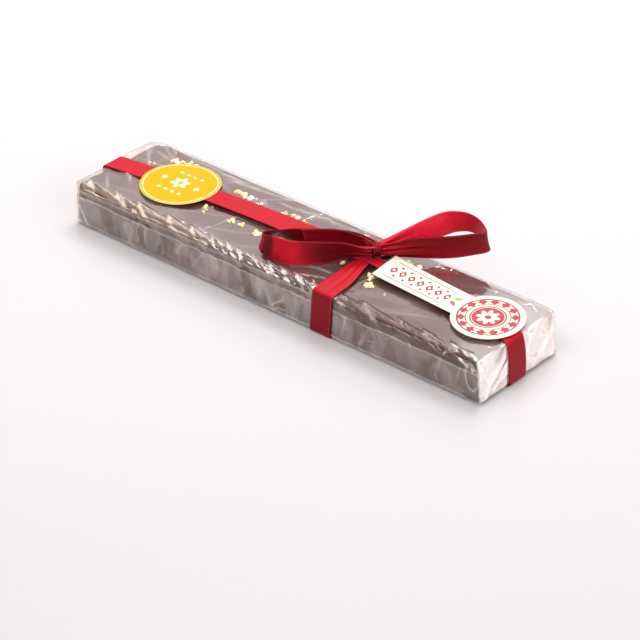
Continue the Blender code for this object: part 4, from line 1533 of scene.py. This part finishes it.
@dataclass
class ClearFilm:
    """The film wrap: gathered ridge on the front top edge, overlap on the front, folded ends and crinkles."""

    shape: BarShape
    ribbon: Ribbon
    crumbs: Crumbs
    overlap: float = 13.6
    overlap_step: float = 0.25
    gap: float = 0.42
    swell: float = 1.1
    ridge_rise: float = 2.2
    ridge_reach: float = 2.9
    ridge_slant: float = 1.3
    ridge_foot: float = 2.1
    ridge_bulge: float = 0.35
    groove_depth: float = 0.45
    pitch_far: float = 16.0
    pitch_middle: float = 4.4
    pitch_centre: float = -6.0
    pitch_reach: float = 36.0
    flap_top: float = 7.2
    flap_low: float = 1.6
    flap_step: float = 0.3
    corner_oval: tuple[float, float] = (101.6, 11.4)
    corner_half: tuple[float, float] = (3.1, 5.6)
    creases: tuple[Crease, ...] = (
        Crease(Side.FRONT, (-105.0, 13.7), (-98.5, 2.5), 0.40, 0.40, 0.2),
        Crease(Side.FRONT, (-104.0, 1.9), (104.5, 1.5), 0.30, 0.22, 0.15),
        # painted highlight at the top of the oval fold
        Crease(Side.FRONT, (96.6, 17.2), (99.6, 15.6), 0.9, 0.6, 0.1),
        # painted shade: negative haze and a slight dent give the oval fold's dark crescent
        Crease(Side.FRONT, (98.6, 2.6), (103.6, 1.6), 0.9, -0.5, -0.2),
        Crease(Side.FRONT, (87.6, 16.0), (89.0, 18.2), 0.4, 0.5, 0.2),
        Crease(Side.NEAR_END, (4.6, 6.6), (20.9, 2.2), 0.40, 0.20, 0.2),
        Crease(Side.NEAR_END, (-17.8, 2.7), (-6.8, 7.2), 0.40, 0.20, 0.2),
        Crease(Side.NEAR_END, (-23.5, 18.0), (-19.0, 8.0), 0.5, 0.3, 0.25),
        Crease(Side.NEAR_END, (7.0, 17.5), (22.0, 9.0), 0.5, 0.3, 0.25),
        Crease(Side.TOP, (-104.0, 18.0), (-88.0, 2.0), 0.45, 0.22, 0.2),
        Crease(Side.TOP, (-104.5, 8.0), (-93.0, -6.0), 0.45, 0.20, 0.2),
        Crease(Side.TOP, (-99.0, 22.5), (-76.0, 9.0), 0.45, 0.16, 0.15),
        Crease(Side.TOP, (-90.0, 22.5), (-52.0, 20.0), 0.5, 0.20, 0.2),
        Crease(Side.TOP, (-60.0, 18.0), (-28.0, 21.5), 0.5, 0.18, 0.15),
        Crease(Side.TOP, (-30.0, 17.5), (8.0, 20.5), 0.5, 0.18, 0.15),
        # painted highlight: a bright patch seen under the left loop
        Crease(Side.TOP, (-18.0, -5.6), (-8.5, -3.6), 0.9, 0.60, 0.3),
        Crease(Side.TOP, (5.0, -17.0), (11.0, -12.0), 0.5, 0.25, 0.3),
        Crease(Side.TOP, (11.0, -12.0), (20.0, -11.0), 0.45, 0.22, 0.3),
        Crease(Side.TOP, (12.0, -19.0), (21.0, -15.5), 0.5, 0.20, 0.3),
    )

    def phase(self, x: Array) -> Array:
        """Return the ridge's phase: the integral of 1 / pitch along the bar, with a wandering shift.

        Args:
            x: Places along the bar.

        Returns:
            The phases, which grow by 1 from fold to fold.
        """
        fine = np.linspace(-self.shape.length, self.shape.length, 2400)
        middle = bell(fine, self.pitch_centre, self.pitch_reach)
        pitch = self.pitch_far + (self.pitch_middle - self.pitch_far) * middle
        total = np.concatenate(([0.0], np.cumsum(np.diff(fine) / pitch[1:])))
        return np.interp(x, fine, total) + 0.25 * Lattice(31).smooth(x / 11, 0 * x)

    def ridge(self, x: Array, across: Array) -> tuple[Array, Array, Array]:
        """Return the gathered ridge's shift across the bar, its shift up, and how sharply its folds crest.

        Folds run slanting over the edge. Along the bar each is a saw wave, steep to the left and gentle to
        the right. Its face is flat: it runs straight from a point low on the front, pushed out a little, to a
        crest that stands on the top, further in where the saw wave is high. Past it the rise fades out.

        Args:
            x: Places along the bar.
            across: Distance from the edge, positive on the top and negative down the front.

        Returns:
            The two shifts, and the crests' sharpness from 0 to 1.
        """
        leaning = x + self.ridge_slant * across
        phase = self.phase(leaning)
        share = phase - np.floor(phase)
        saw = np.where(share < 0.16, share / 0.16, (1 - share) / 0.84)
        middle = bell(x, self.pitch_centre, self.pitch_reach)
        far = smoothstep(-25, -55, x)
        sub_height, sub_line = Lattice(33).folds(leaning, 0.7 * across, 18.0, 5.2, 0.45)
        small = Lattice(32).facets(leaning / 2.6, across / 2.2)
        large = Lattice(35).facets(leaning / 5.5, across / 4.5)
        facet = small * (1 - 0.85 * far) + 0.9 * large * far
        size = self.ridge_rise * (1 - 0.60 * smoothstep(38, 66, x)) * (1 - 0.30 * middle)
        rise = size * (0.26 + 0.67 * saw + 0.22 * sub_height * (1 - middle) * (1 - 0.6 * far))
        crest_at = 1.2 + self.ridge_reach * (0.15 + 0.65 * saw) * (1 - 0.35 * middle)
        foot, bulge = self.ridge_foot, self.ridge_bulge
        part = np.clip((across + foot) / (crest_at + foot), 0, 1)
        face = (across > -foot) & (across < crest_at)
        flat_y = crest_at * part - bulge * (1 - part) - np.clip(across, 0, None)
        flat_z = rise * part - foot * (1 - part) - np.clip(across, None, 0)
        below = -bulge * smoothstep(-foot - 2.5, -foot, across) * (across <= -foot)
        beyond = rise * smoothstep(crest_at + 3.6, crest_at, across) * (across >= crest_at)
        move_y, move_z = np.where(face, flat_y, below), np.where(face, flat_z, beyond)
        bead = smoothstep(-foot - 2.0, -foot, across) * smoothstep(crest_at + 2.0, crest_at, across)
        rough = (0.22 + 0.16 * middle) * (facet + 0.4) * bead
        crest = bell(share, 0.16, 0.06) * bead + (0.5 - 0.3 * far) * sub_line * bead
        return move_y - 0.66 * rough, move_z + 0.75 * rough, np.clip(crest, 0, 1)

    def calm(self, points: Array) -> Array:
        """Return 0 under the straps and 1 clear of them, so that the film stays under the ribbon.

        Args:
            points: Points of the film.

        Returns:
            Numbers from 0 to 1.
        """
        x, y = points[:, 0], points[:, 1]
        cross = smoothstep(5.2, 7.5, np.abs(x - self.ribbon.top_x + 0.7))
        along = smoothstep(5.2, 7.0, np.abs(y - self.ribbon.near_y))
        on_end = np.abs(x) > self.shape.length / 2 - 1.2
        return cross * np.where(on_end, along, 1.0)

    def build(self, film: bpy.types.Material) -> bpy.types.Object:
        """Make and dress the film.

        Args:
            film: Its material.

        Returns:
            The piece.
        """
        shape = self.shape
        half_x, half_y = shape.length / 2, shape.width / 2
        xs = np.linspace(-half_x, half_x, 361)
        ys = graded_cuts(-half_y, half_y, lambda y: 0.36 + 0.55 * smoothstep(4, 9, y + half_y))
        zs = graded_cuts(shape.low, shape.high, lambda z: 0.36 + 0.5 * smoothstep(9, 14, shape.high - z))
        box, faces = shape.shell(xs, ys, zs)
        places, outward = shape.rounded(box)
        relief = FilmRelief(len(box))
        self.add_front(relief, box, outward)
        self.add_top(relief, box, outward)
        self.add_ends(relief, box, outward)
        self.add_creases(relief, box, outward)
        self.add_ridge(relief, box, outward, box - places)
        calm = self.calm(box)
        push = np.clip(relief.push, -self.gap, self.swell) * calm - 0.12 * (1 - calm)
        moved = places + outward * push[:, None] + relief.shift * calm[:, None]
        moved[:, 1] = np.clip(moved[:, 1], -half_y - 0.68, half_y + 0.68)
        points = shape.finished(moved)
        points[:, 0] = np.clip(points[:, 0], -half_x - 0.65, half_x + 0.65)
        piece = make_object("clear_film", points, faces, [film], values=relief.values())
        return declare(piece, "film", "wrapped_bar")

    def add_front(self, relief: FilmRelief, box: Array, outward: Array) -> None:
        """Add the front's lower layer, the overlap's step, the pleats under the ridge and the oval fold's
        painted light and shade.

        Args:
            relief: What the film adds, changed here.
            box: Points on the plain box.
            outward: Outward direction at each point.
        """
        x, _, z = box.T
        front = np.clip(-outward[:, 1], 0, 1) ** 2
        rear = np.clip(outward[:, 1], 0, 1) ** 2
        coarse, medium, fine = Lattice(41), Lattice(42), Lattice(43)
        middle = bell(x, 2.0, 60.0)
        above = smoothstep(-0.3, 0.3, z - self.overlap)
        pleat, pleat_line = medium.folds(x, z, 8.0, 5.6, 0.45)
        slant, slant_line = coarse.folds(x, z, -24.0, 8.5, 0.5)
        broad = coarse.facets(x / 9.0 + 0.05 * z, z / 11) * 0.34
        upper = above * (0.70 * pleat + 0.45 * medium.facets(x / 3.1, z / 3.3) * (0.4 + 0.6 * middle))
        lower = (1 - above) * (0.60 * slant * (0.3 + 0.7 * middle) + 0.50 * pleat * middle)
        small = 0.07 * fine.facets(x / 1.9, z / 2.6)
        edge = smoothstep(0.0, 1.6, z - self.shape.low)
        relief.push += front * (broad + upper + lower + small - 0.25 - self.overlap_step * above) * edge
        # brighter patches and streaks on the lower front: partly the film's milkiness, partly painted
        # reflection
        patch = np.clip(0.45 + 0.9 * coarse.facets(x / 7.0 + 0.04 * z + 3, z / 16), 0, 1)
        streak = np.clip(1.2 * medium.facets(x / 4.2 + 0.10 * z, z / 9 + 4) - 0.1, 0, 1)
        streak = streak * (0.25 + 0.75 * middle)
        milky = 0.02 + 0.09 * patch + 0.11 * streak + 0.13 * slant_line + 0.06 * pleat_line
        relief.haze += front * (1 - above) * milky
        relief.haze += front * above * (0.015 + 0.10 * pleat_line * middle)
        relief.haze += 0.20 * front * bell(z, self.overlap - 0.25, 0.28)
        relief.layers += front * ((1 - above) * 0.12 + 0.35 * bell(z, self.overlap - 0.3, 0.5))
        pane = smoothstep(-0.10, 0.10, medium.facets(x / 6.5 + 0.06 * z + 11, z / 9 + 2))
        strip = smoothstep(-0.08, 0.08, fine.facets(x / 3.4 + 0.12 * z + 4, z / 7 + 6))
        relief.layers += front * (1 - above) * (0.45 * pane + 0.55 * strip * middle - 0.40)
        relief.layers += front * above * (0.50 * strip * middle + 0.25 * pane - 0.30)
        relief.layers -= 0.22 * front * smoothstep(30, 60, x)
        # the oval fold is only painted: a light outline and a painted highlight of haze, and two painted dark
        # crescents where fewer layers let the chocolate show
        out_x = (x - self.corner_oval[0]) / self.corner_half[0]
        out_z = (z - self.corner_oval[1]) / self.corner_half[1]
        relief.haze += front * 0.30 * bell(np.hypot(out_x, out_z), 1.0, 0.14)
        relief.haze += front * 0.70 * bell(np.hypot(out_x - 0.2, 1.8 * out_z - 1.1), 0.0, 0.32)
        relief.layers -= front * 1.3 * bell(np.hypot(out_x + 0.3, 2.6 * out_z + 1.9), 0.0, 0.55)
        relief.layers -= front * 1.3 * bell(np.hypot(2.0 * out_x - 1.7, out_z - 0.6), 0.0, 0.45)
        relief.warm += 0.12 * front
        relief.crinkle += front * 0.35 * middle
        fold, line = coarse.folds(x, z, 20.0, 9.0, 0.5)
        relief.push += rear * (0.45 * fold + 0.25 * coarse.facets(x / 7 + 3, z / 8) - 0.60) * edge
        relief.haze += rear * (0.03 + 0.15 * line)
        relief.layers -= 0.6 * smoothstep(0.1, 0.7, outward[:, 1])

    def add_top(self, relief: FilmRelief, box: Array, outward: Array) -> None:
        """Add the sheet over the top: a shallow sag, long folds by the rear edge and bumps on the nuts.

        Args:
            relief: What the film adds, changed here.
            box: Points on the plain box.
            outward: Outward direction at each point.
        """
        x, y, _ = box.T
        half_x, half_y = self.shape.length / 2, self.shape.width / 2
        top = np.clip(outward[:, 2], 0, 1) ** 2
        coarse, fine = Lattice(44), Lattice(45)
        sag = self.shape.sag * (1 - (y / half_y) ** 2) * (1 - (x / half_x) ** 4)
        back = smoothstep(2, 18, y)
        far = smoothstep(-60, -95, x)
        long_fold, long_line = coarse.folds(x, y, 82.0, 6.5, 0.5)
        fan_fold, fan_line = fine.folds(x, y, 38.0, 9.0, 0.5)
        cross_fold, cross_line = fine.folds(x, y, 120.0, 12.0, 0.5)
        sheet = coarse.facets(x / 15 + y / 30, y / 7 + x / 50) * 0.30
        sheet = sheet + coarse.smooth(x / 8 + y / 12, y / 6) * 0.10
        rim = smoothstep(25.0, 21.5, y)
        folds = 0.55 * back * long_fold + 0.60 * far * fan_fold + 0.35 * cross_fold
        small = 0.05 * fine.facets(x / 3.1 + y / 9, y / 2.7)
        relief.push += top * (sheet * rim + folds * rim - sag - 0.15 + small)
        doubled = 1.2 * smoothstep(86, 98, x) + 0.6 * smoothstep(35, 65, x) * smoothstep(6, 14, y)
        clinging = 0.30 * smoothstep(8, 22, x) * smoothstep(90, 78, x) * smoothstep(4, -4, y)
        relief.layers += top * (doubled - clinging)
        relief.haze += top * (0.012 + 0.18 * back * long_line + 0.22 * far * fan_line + 0.09 * cross_line)
        relief.haze += top * 0.05 * np.clip(coarse.facets(x / 12 + 7, y / 5) + 0.2, 0, 1)
        for centre, radius in self.crumbs.lumps():
            away = np.hypot(x - centre[0], y - centre[1])
            relief.push += top * 0.55 * radius * bell(away, 0.0, 1.1 * radius)

    def add_ends(self, relief: FilmRelief, box: Array, outward: Array) -> None:
        """Add the folded ends: large flat facets in several layers and the step of the lower flap.

        Args:
            relief: What the film adds, changed here.
            box: Points on the plain box.
            outward: Outward direction at each point.
        """
        _, y, z = box.T
        end = np.clip(np.abs(outward[:, 0]), 0, 1) ** 2
        side = np.sign(outward[:, 0]) * 9
        coarse, fine = Lattice(46), Lattice(47)
        fold, line = coarse.folds(y + side, z, 50.0, 11.0, 0.4)
        other, other_line = fine.folds(y + side, z, -40.0, 8.5, 0.4)
        facet = coarse.facets(y / 8.0 + side, z / 7.0)
        small = fine.facets(y / 3.4 + side, z / 3.0)
        outer = 0.35 * smoothstep(5, 9, np.abs(y + 2)) * (outward[:, 0] < 0)
        relief.push += end * (0.70 * fold + 0.50 * other + 0.45 * facet + 0.12 * small - 0.45 + outer)
        flap_share = np.clip((np.abs(y) - 6) / 16, 0, 1)
        flap_line = self.shape.low + self.flap_top + (self.flap_low - self.flap_top) * flap_share
        relief.push += np.where((end > 0.8) & (z < flap_line), self.flap_step, 0.0)
        # the near end gets more milky haze and brighter patches than the far end: partly the film's milkiness,
        # partly painted light
        bright = np.clip(0.3 + 1.2 * facet, 0, 1)
        near = np.where(outward[:, 0] > 0, 1.0, 0.35)
        relief.haze += end * near * (0.26 + 0.34 * bright + 0.30 * line + 0.26 * other_line)
        relief.layers += end * (0.3 + 1.7 * near)
        relief.warm += 0.05 * end * near
        relief.crinkle += 0.5 * end

    def add_creases(self, relief: FilmRelief, box: Array, outward: Array) -> None:
        """Add the single folds; two of them are painted highlights and one is painted shade.

        Each is a soft line exp(-(distance / width)^2) round its segment.

        Args:
            relief: What the film adds, changed here.
            box: Points on the plain box.
            outward: Outward direction at each point.
        """
        for crease in self.creases:
            mask, u, v = self.side_place(crease.side, box, outward)
            distance = segment_distance(u, v, crease.start, crease.end)
            line = mask * np.exp(-((distance / crease.width) ** 2))
            relief.haze += crease.haze * line
            relief.push += crease.lift * line

    def add_ridge(self, relief: FilmRelief, box: Array, outward: Array, rounding: Array) -> None:
        """Add the gathered ridge, whose faces take the place of the rounded edge, and the groove below it.

        Args:
            relief: What the film adds, changed here.
            box: Points on the plain box.
            outward: Outward direction at each point.
            rounding: How far the rounded edge lies inside the plain box at each point.
        """
        x, y, z = box.T
        across = (y + self.shape.width / 2) - (self.shape.high - z)
        zone = (outward[:, 2] > -0.3) & (outward[:, 1] < 0.3) & (across > -9) & (across < 12)
        fade = smoothstep(0.3, 5, self.shape.length / 2 - np.abs(x)) * zone
        move_y, move_z, crest = self.ridge(x, across)
        relief.shift += np.stack([0 * x, move_y * fade, move_z * fade], -1)
        relief.shift[:, 1:] += rounding[:, 1:] * (fade * bell(across, 0.0, 2.5))[:, None]
        front = np.clip(-outward[:, 1], 0, 1) ** 2
        groove = bell(across, -3.6, 1.5) * front * fade
        relief.push -= self.groove_depth * groove
        relief.layers -= 0.35 * groove
        far = smoothstep(5, -50, x)
        near = smoothstep(18, 48, x)
        bead = bell(across, 0.3, 2.8 + 0.7 * far) * fade
        # painted highlights and glints: milky haze on the ridge's bead and on its folds' crests
        crest_haze = (0.30 - 0.12 * far) * crest * (1 - 0.5 * near)
        relief.haze += fade * (0.05 * bead * (1 + far - 0.4 * near) + crest_haze)
        relief.layers += (0.8 + 0.3 * far - 1.45 * near) * bead
        # painted highlights: the warm tint makes the ridge's highlights peach, most at the far end
        relief.warm += bead * (0.25 + 0.75 * far)
        relief.crinkle += fade * (0.15 + 0.85 * bell(x, -8, 48)) * bell(across, -0.5, 5.0)

    @staticmethod
    def side_place(side: Side, box: Array, outward: Array) -> tuple[Array, Array, Array]:
        """Return the mask of a side and its own two directions.

        Args:
            side: The side.
            box: Points on the plain box.
            outward: Outward direction at each point.

        Returns:
            The mask and both coordinates.
        """
        x, y, z = box.T
        if side is Side.TOP:
            return (outward[:, 2] > 0.7) * 1.0, x, y
        if side is Side.FRONT:
            return (outward[:, 1] < -0.7) * 1.0, x, z
        return (outward[:, 0] > 0.7) * 1.0, y, z


def segment_distance(u: Array, v: Array, start: tuple[float, float], end: tuple[float, float]) -> Array:
    """Return the distance of points to a segment: to the foot at t = clamp((p - a).(b - a) / |b - a|^2).

    Args:
        u: First coordinates of the points.
        v: Second coordinates of the points.
        start: First end of the segment.
        end: Second end of the segment.

    Returns:
        The distances.
    """
    du, dv = end[0] - start[0], end[1] - start[1]
    t = np.clip(((u - start[0]) * du + (v - start[1]) * dv) / (du * du + dv * dv), 0, 1)
    return np.hypot(u - start[0] - t * du, v - start[1] - t * dv)


@dataclass
class Sticker:
    """The round sticker, flat on the lengthwise strap and drooping a little on both sides of it."""

    ribbon: Ribbon
    radius: float = 16.85
    centre: tuple[float, float] = (-70.3, 1.4)
    thick: float = 0.22
    droop: float = 0.45
    gap: float = 0.12

    def build(self) -> bpy.types.Object:
        """Make and dress the sticker: a square grid carried to a disc by x = a sqrt(1 - b^2 / 2), y likewise.

        Returns:
            The piece.
        """
        count = 61
        a, b = np.meshgrid(np.linspace(-1, 1, count), np.linspace(-1, 1, count), indexing="ij")
        along = self.radius * a * np.sqrt(1 - b * b / 2)
        across = self.radius * b * np.sqrt(1 - a * a / 2)
        droop = self.droop * smoothstep(4.5, 15.0, np.abs(across))
        x, y = self.centre[0] + along, self.centre[1] + across
        under = self.ribbon.shape.high + self.ribbon.offset + self.ribbon.long_rise(x) + self.ribbon.thick / 2
        z = under + self.gap + self.thick / 2 - droop + 0.05 * Lattice(51).smooth(along / 8, across / 8)
        faces = grid_faces(count, count)
        flat = np.stack([along, across], -1).reshape(-1, 2)
        uv = flat[faces].reshape(-1, 2) * MM
        paper = StickerFinish(self.radius).build()
        back = PaperFinish("sticker_paper", (0.90, 0.78, 0.45)).build()
        piece = make_object("sticker_disc", np.stack([x, y, z], -1).reshape(-1, 3), faces, [paper, back], uv)
        add_wall(piece, self.thick, 1)
        return declare(piece, "sticker", "sticker")


@dataclass
class Tag:
    """The tag: a strip with a round head, sloping up to the rear and rising towards the knot."""

    radius: float = 14.6
    head: tuple[float, float] = (89.0, 0.6)
    start: tuple[float, float] = (35.3, 3.4)
    strip: float = 14.0
    height: float = 21.05
    thick: float = 0.32
    rise: float = 1.15
    slope_head: float = 0.048
    slope_knot: float = 0.10

    def build(self) -> bpy.types.Object:
        """Make and dress the tag: rows across the strip, then rows across the head up to its last point.

        Returns:
            The piece.
        """
        start, head = np.array(self.start), np.array(self.head)
        length = float(np.linalg.norm(head - start))
        axis = (head - start) / length
        total = length + self.radius
        neck = length - math.sqrt(self.radius**2 - (self.strip / 2) ** 2)
        first = math.pi - math.asin(self.strip / 2 / self.radius)
        angle = first * (1 - np.linspace(0, 1, 49)[1:])
        reach = np.concatenate([np.linspace(0, neck, 57), length + self.radius * np.cos(angle)])
        half = np.concatenate([np.full(57, self.strip / 2), self.radius * np.sin(angle)])
        side = np.linspace(-1, 1, 31)
        offset = np.maximum(half, 0.02)[:, None] * side[None, :]
        reach = reach[:, None] + 0 * offset
        to_head = 1 - reach / total
        slope = self.slope_head + self.slope_knot * to_head**4
        curl = 0.25 * smoothstep(0.55, 1.0, np.hypot(reach - length, offset) / self.radius) * (reach > neck)
        z = self.height + self.rise * to_head**3 + slope * offset + 0.3 * curl * bell(offset, -14.0, 8.0)
        x = start[0] + axis[0] * reach - axis[1] * offset
        y = start[1] + axis[1] * reach + axis[0] * offset
        faces = grid_faces(*offset.shape)
        flat = np.stack([reach - length, offset], -1).reshape(-1, 2)
        uv = flat[faces].reshape(-1, 2) * MM
        card = TagFinish(self.radius, length).build()
        back = PaperFinish("tag_paper", (0.90, 0.83, 0.68)).build()
        piece = make_object("tag_card", np.stack([x, y, z], -1).reshape(-1, 3), faces, [card, back], uv)
        add_wall(piece, self.thick, 1)
        return declare(piece, "tag", "tag")


@dataclass(frozen=True)
class SoftBox:
    """A bright round patch of the surround: its direction, its angular radius and its added strength."""

    axis: tuple[float, float, float]
    radius: float
    strength: float


@dataclass
class Studio:
    """White table, soft light from above and behind, and the camera at the photograph's angle."""

    azimuth: float = 39.959
    elevation: float = 32.258
    roll: float = 0.281
    distance: float = 1285.7
    aim: tuple[float, float, float] = (8.053, -2.806, -11.603)
    focal: float = 180.54
    sky_axis: tuple[float, float, float] = (-0.25, 0.45, 0.86)
    sky_low: float = 0.10
    sky_gain: float = 1.25
    sky_colour: Colour = (1.0, 0.985, 0.98)
    key_place: Triple = (-200.0, 430.0, 1000.0)
    key_size: tuple[float, float] = (620.0, 460.0)
    key_power: float = 6.6
    key_colour: Colour = (1.0, 0.975, 0.95)
    boxes: tuple[SoftBox, ...] = (
        SoftBox((-0.36, -0.48, 0.75), 17.0, 2.6),
        SoftBox((0.75, 0.35, 0.45), 16.0, 2.0),
        SoftBox((0.95, -0.15, 0.28), 22.0, 3.0),
        SoftBox((0.25, -0.55, 0.80), 16.0, 3.6),
    )

    def camera(self) -> bpy.types.Object:
        """Make the camera: it looks at the aim from the azimuth and elevation, turned by the roll."""
        azimuth, elevation, roll = np.radians((self.azimuth, self.elevation, self.roll)).tolist()
        level, up = math.cos(elevation), math.sin(elevation)
        back = Vector((math.sin(azimuth) * level, -math.cos(azimuth) * level, up))
        flat = Vector((math.cos(azimuth), math.sin(azimuth), 0))
        above = back.cross(flat)
        right = flat * math.cos(roll) + above * math.sin(roll)
        data = bpy.data.cameras.new("camera")
        data.lens = self.focal
        data.sensor_width = 36.0
        data.clip_start, data.clip_end = 0.05, 50.0
        camera = bpy.data.objects.new("camera", data)
        turn = Matrix((right, back.cross(right), back)).transposed().to_4x4()
        camera.matrix_world = Matrix.Translation((Vector(self.aim) + back * self.distance) * MM) @ turn
        bpy.context.scene.collection.objects.link(camera)
        bpy.context.scene.camera = camera
        return camera

    def floor(self) -> bpy.types.Object:
        """Make the table: a large flat grid at the foot of the part."""
        lines = np.linspace(-6000, 6000, 13)
        x, y = np.meshgrid(lines, lines, indexing="ij")
        points = np.stack([x, y, np.full_like(x, -0.05)], -1).reshape(-1, 3)
        table = make_object("table", points, grid_faces(13, 13), [FloorFinish().build()])
        return table

    def surround(self) -> None:
        """Light the scene by a white surround, brightest along the light's axis."""
        world = bpy.data.worlds.new("white_surround")
        bpy.context.scene.world = world
        world.use_nodes = True
        kit = NodeKit(world.node_tree)
        direction = kit.node("ShaderNodeTexCoord", output="Generated")
        total = self.facing(kit, direction, self.sky_axis, -0.1, 1.0) ** 2 * self.sky_gain + self.sky_low
        for box in self.boxes:
            reach = math.radians(box.radius)
            outer, inner = math.cos(reach * 1.35), math.cos(reach * 0.8)
            total = total + self.facing(kit, direction, box.axis, outer, inner) * box.strength
        light = kit.node("ShaderNodeBackground", sockets={"Color": self.sky_colour, "Strength": total})
        kit.node("ShaderNodeOutputWorld", sockets={"Surface": light}, output=None)

    @staticmethod
    def facing(kit: NodeKit, direction: Shade, axis: Triple, low: float, high: float) -> Shade:
        """Return how nearly a direction points along an axis: its cosine from low to high, as 0 to 1.

        Args:
            kit: The surround's nodes.
            direction: The direction looked in.
            axis: The axis.
            low: Cosine that gives 0.
            high: Cosine that gives 1.

        Returns:
            The share.
        """
        sockets = {0: direction, 1: tuple(Vector(axis).normalized())}
        cosine = kit.node("ShaderNodeVectorMath", {"operation": "DOT_PRODUCT"}, sockets, "Value")
        return ((cosine - low) / (high - low)).clamped()

    def key(self) -> bpy.types.Object:
        """Add the key light: a soft box above and behind that faces the bar."""
        data = bpy.data.lights.new("key_above", "AREA")
        data.shape = "RECTANGLE"
        data.size, data.size_y = self.key_size[0] * MM, self.key_size[1] * MM
        data.energy = self.key_power
        data.color = self.key_colour
        lamp = bpy.data.objects.new("key_above", data)
        lamp.location = Vector(self.key_place) * MM
        lamp.rotation_euler = lamp.location.to_track_quat("Z", "Y").to_euler()
        bpy.context.scene.collection.objects.link(lamp)
        return lamp

    def build(self) -> None:
        """Set up the floor, the lights, the camera and the colour view."""
        self.camera()
        self.floor()
        self.surround()
        self.key()
        bpy.context.scene.view_settings.view_transform = "Standard"
        bpy.context.scene.view_settings.look = "None"


def main() -> None:
    """Build the studio and all pieces of the wrapped bar in order."""
    logging.basicConfig(level=logging.INFO, format="%(name)s %(message)s")
    Studio().build()
    shape = BarShape()
    ribbon = Ribbon(shape)
    crumbs = Crumbs()
    satin = SatinFinish().build()
    # lighter copy of the satin: painted light for the right loop's inner side
    inner = SatinFinish("red_satin_inner_painted_light", INNER_SATIN_PAINTED_LIGHT[0], INNER_SATIN_PAINTED_LIGHT[1], INNER_SATIN_PAINTED_LIGHT[1]).build()
    Bar(shape).build(ChocolateFinish().build(), NougatFinish().build())
    crumbs.build(CrumbFinish().build())
    ClearFilm(shape, ribbon, crumbs).build(FilmFinish().build())
    Straps(ribbon).build(satin)
    Bow().build(satin, inner)
    Sticker(ribbon).build()
    Tag().build()


if __name__ == "__main__":
    main()
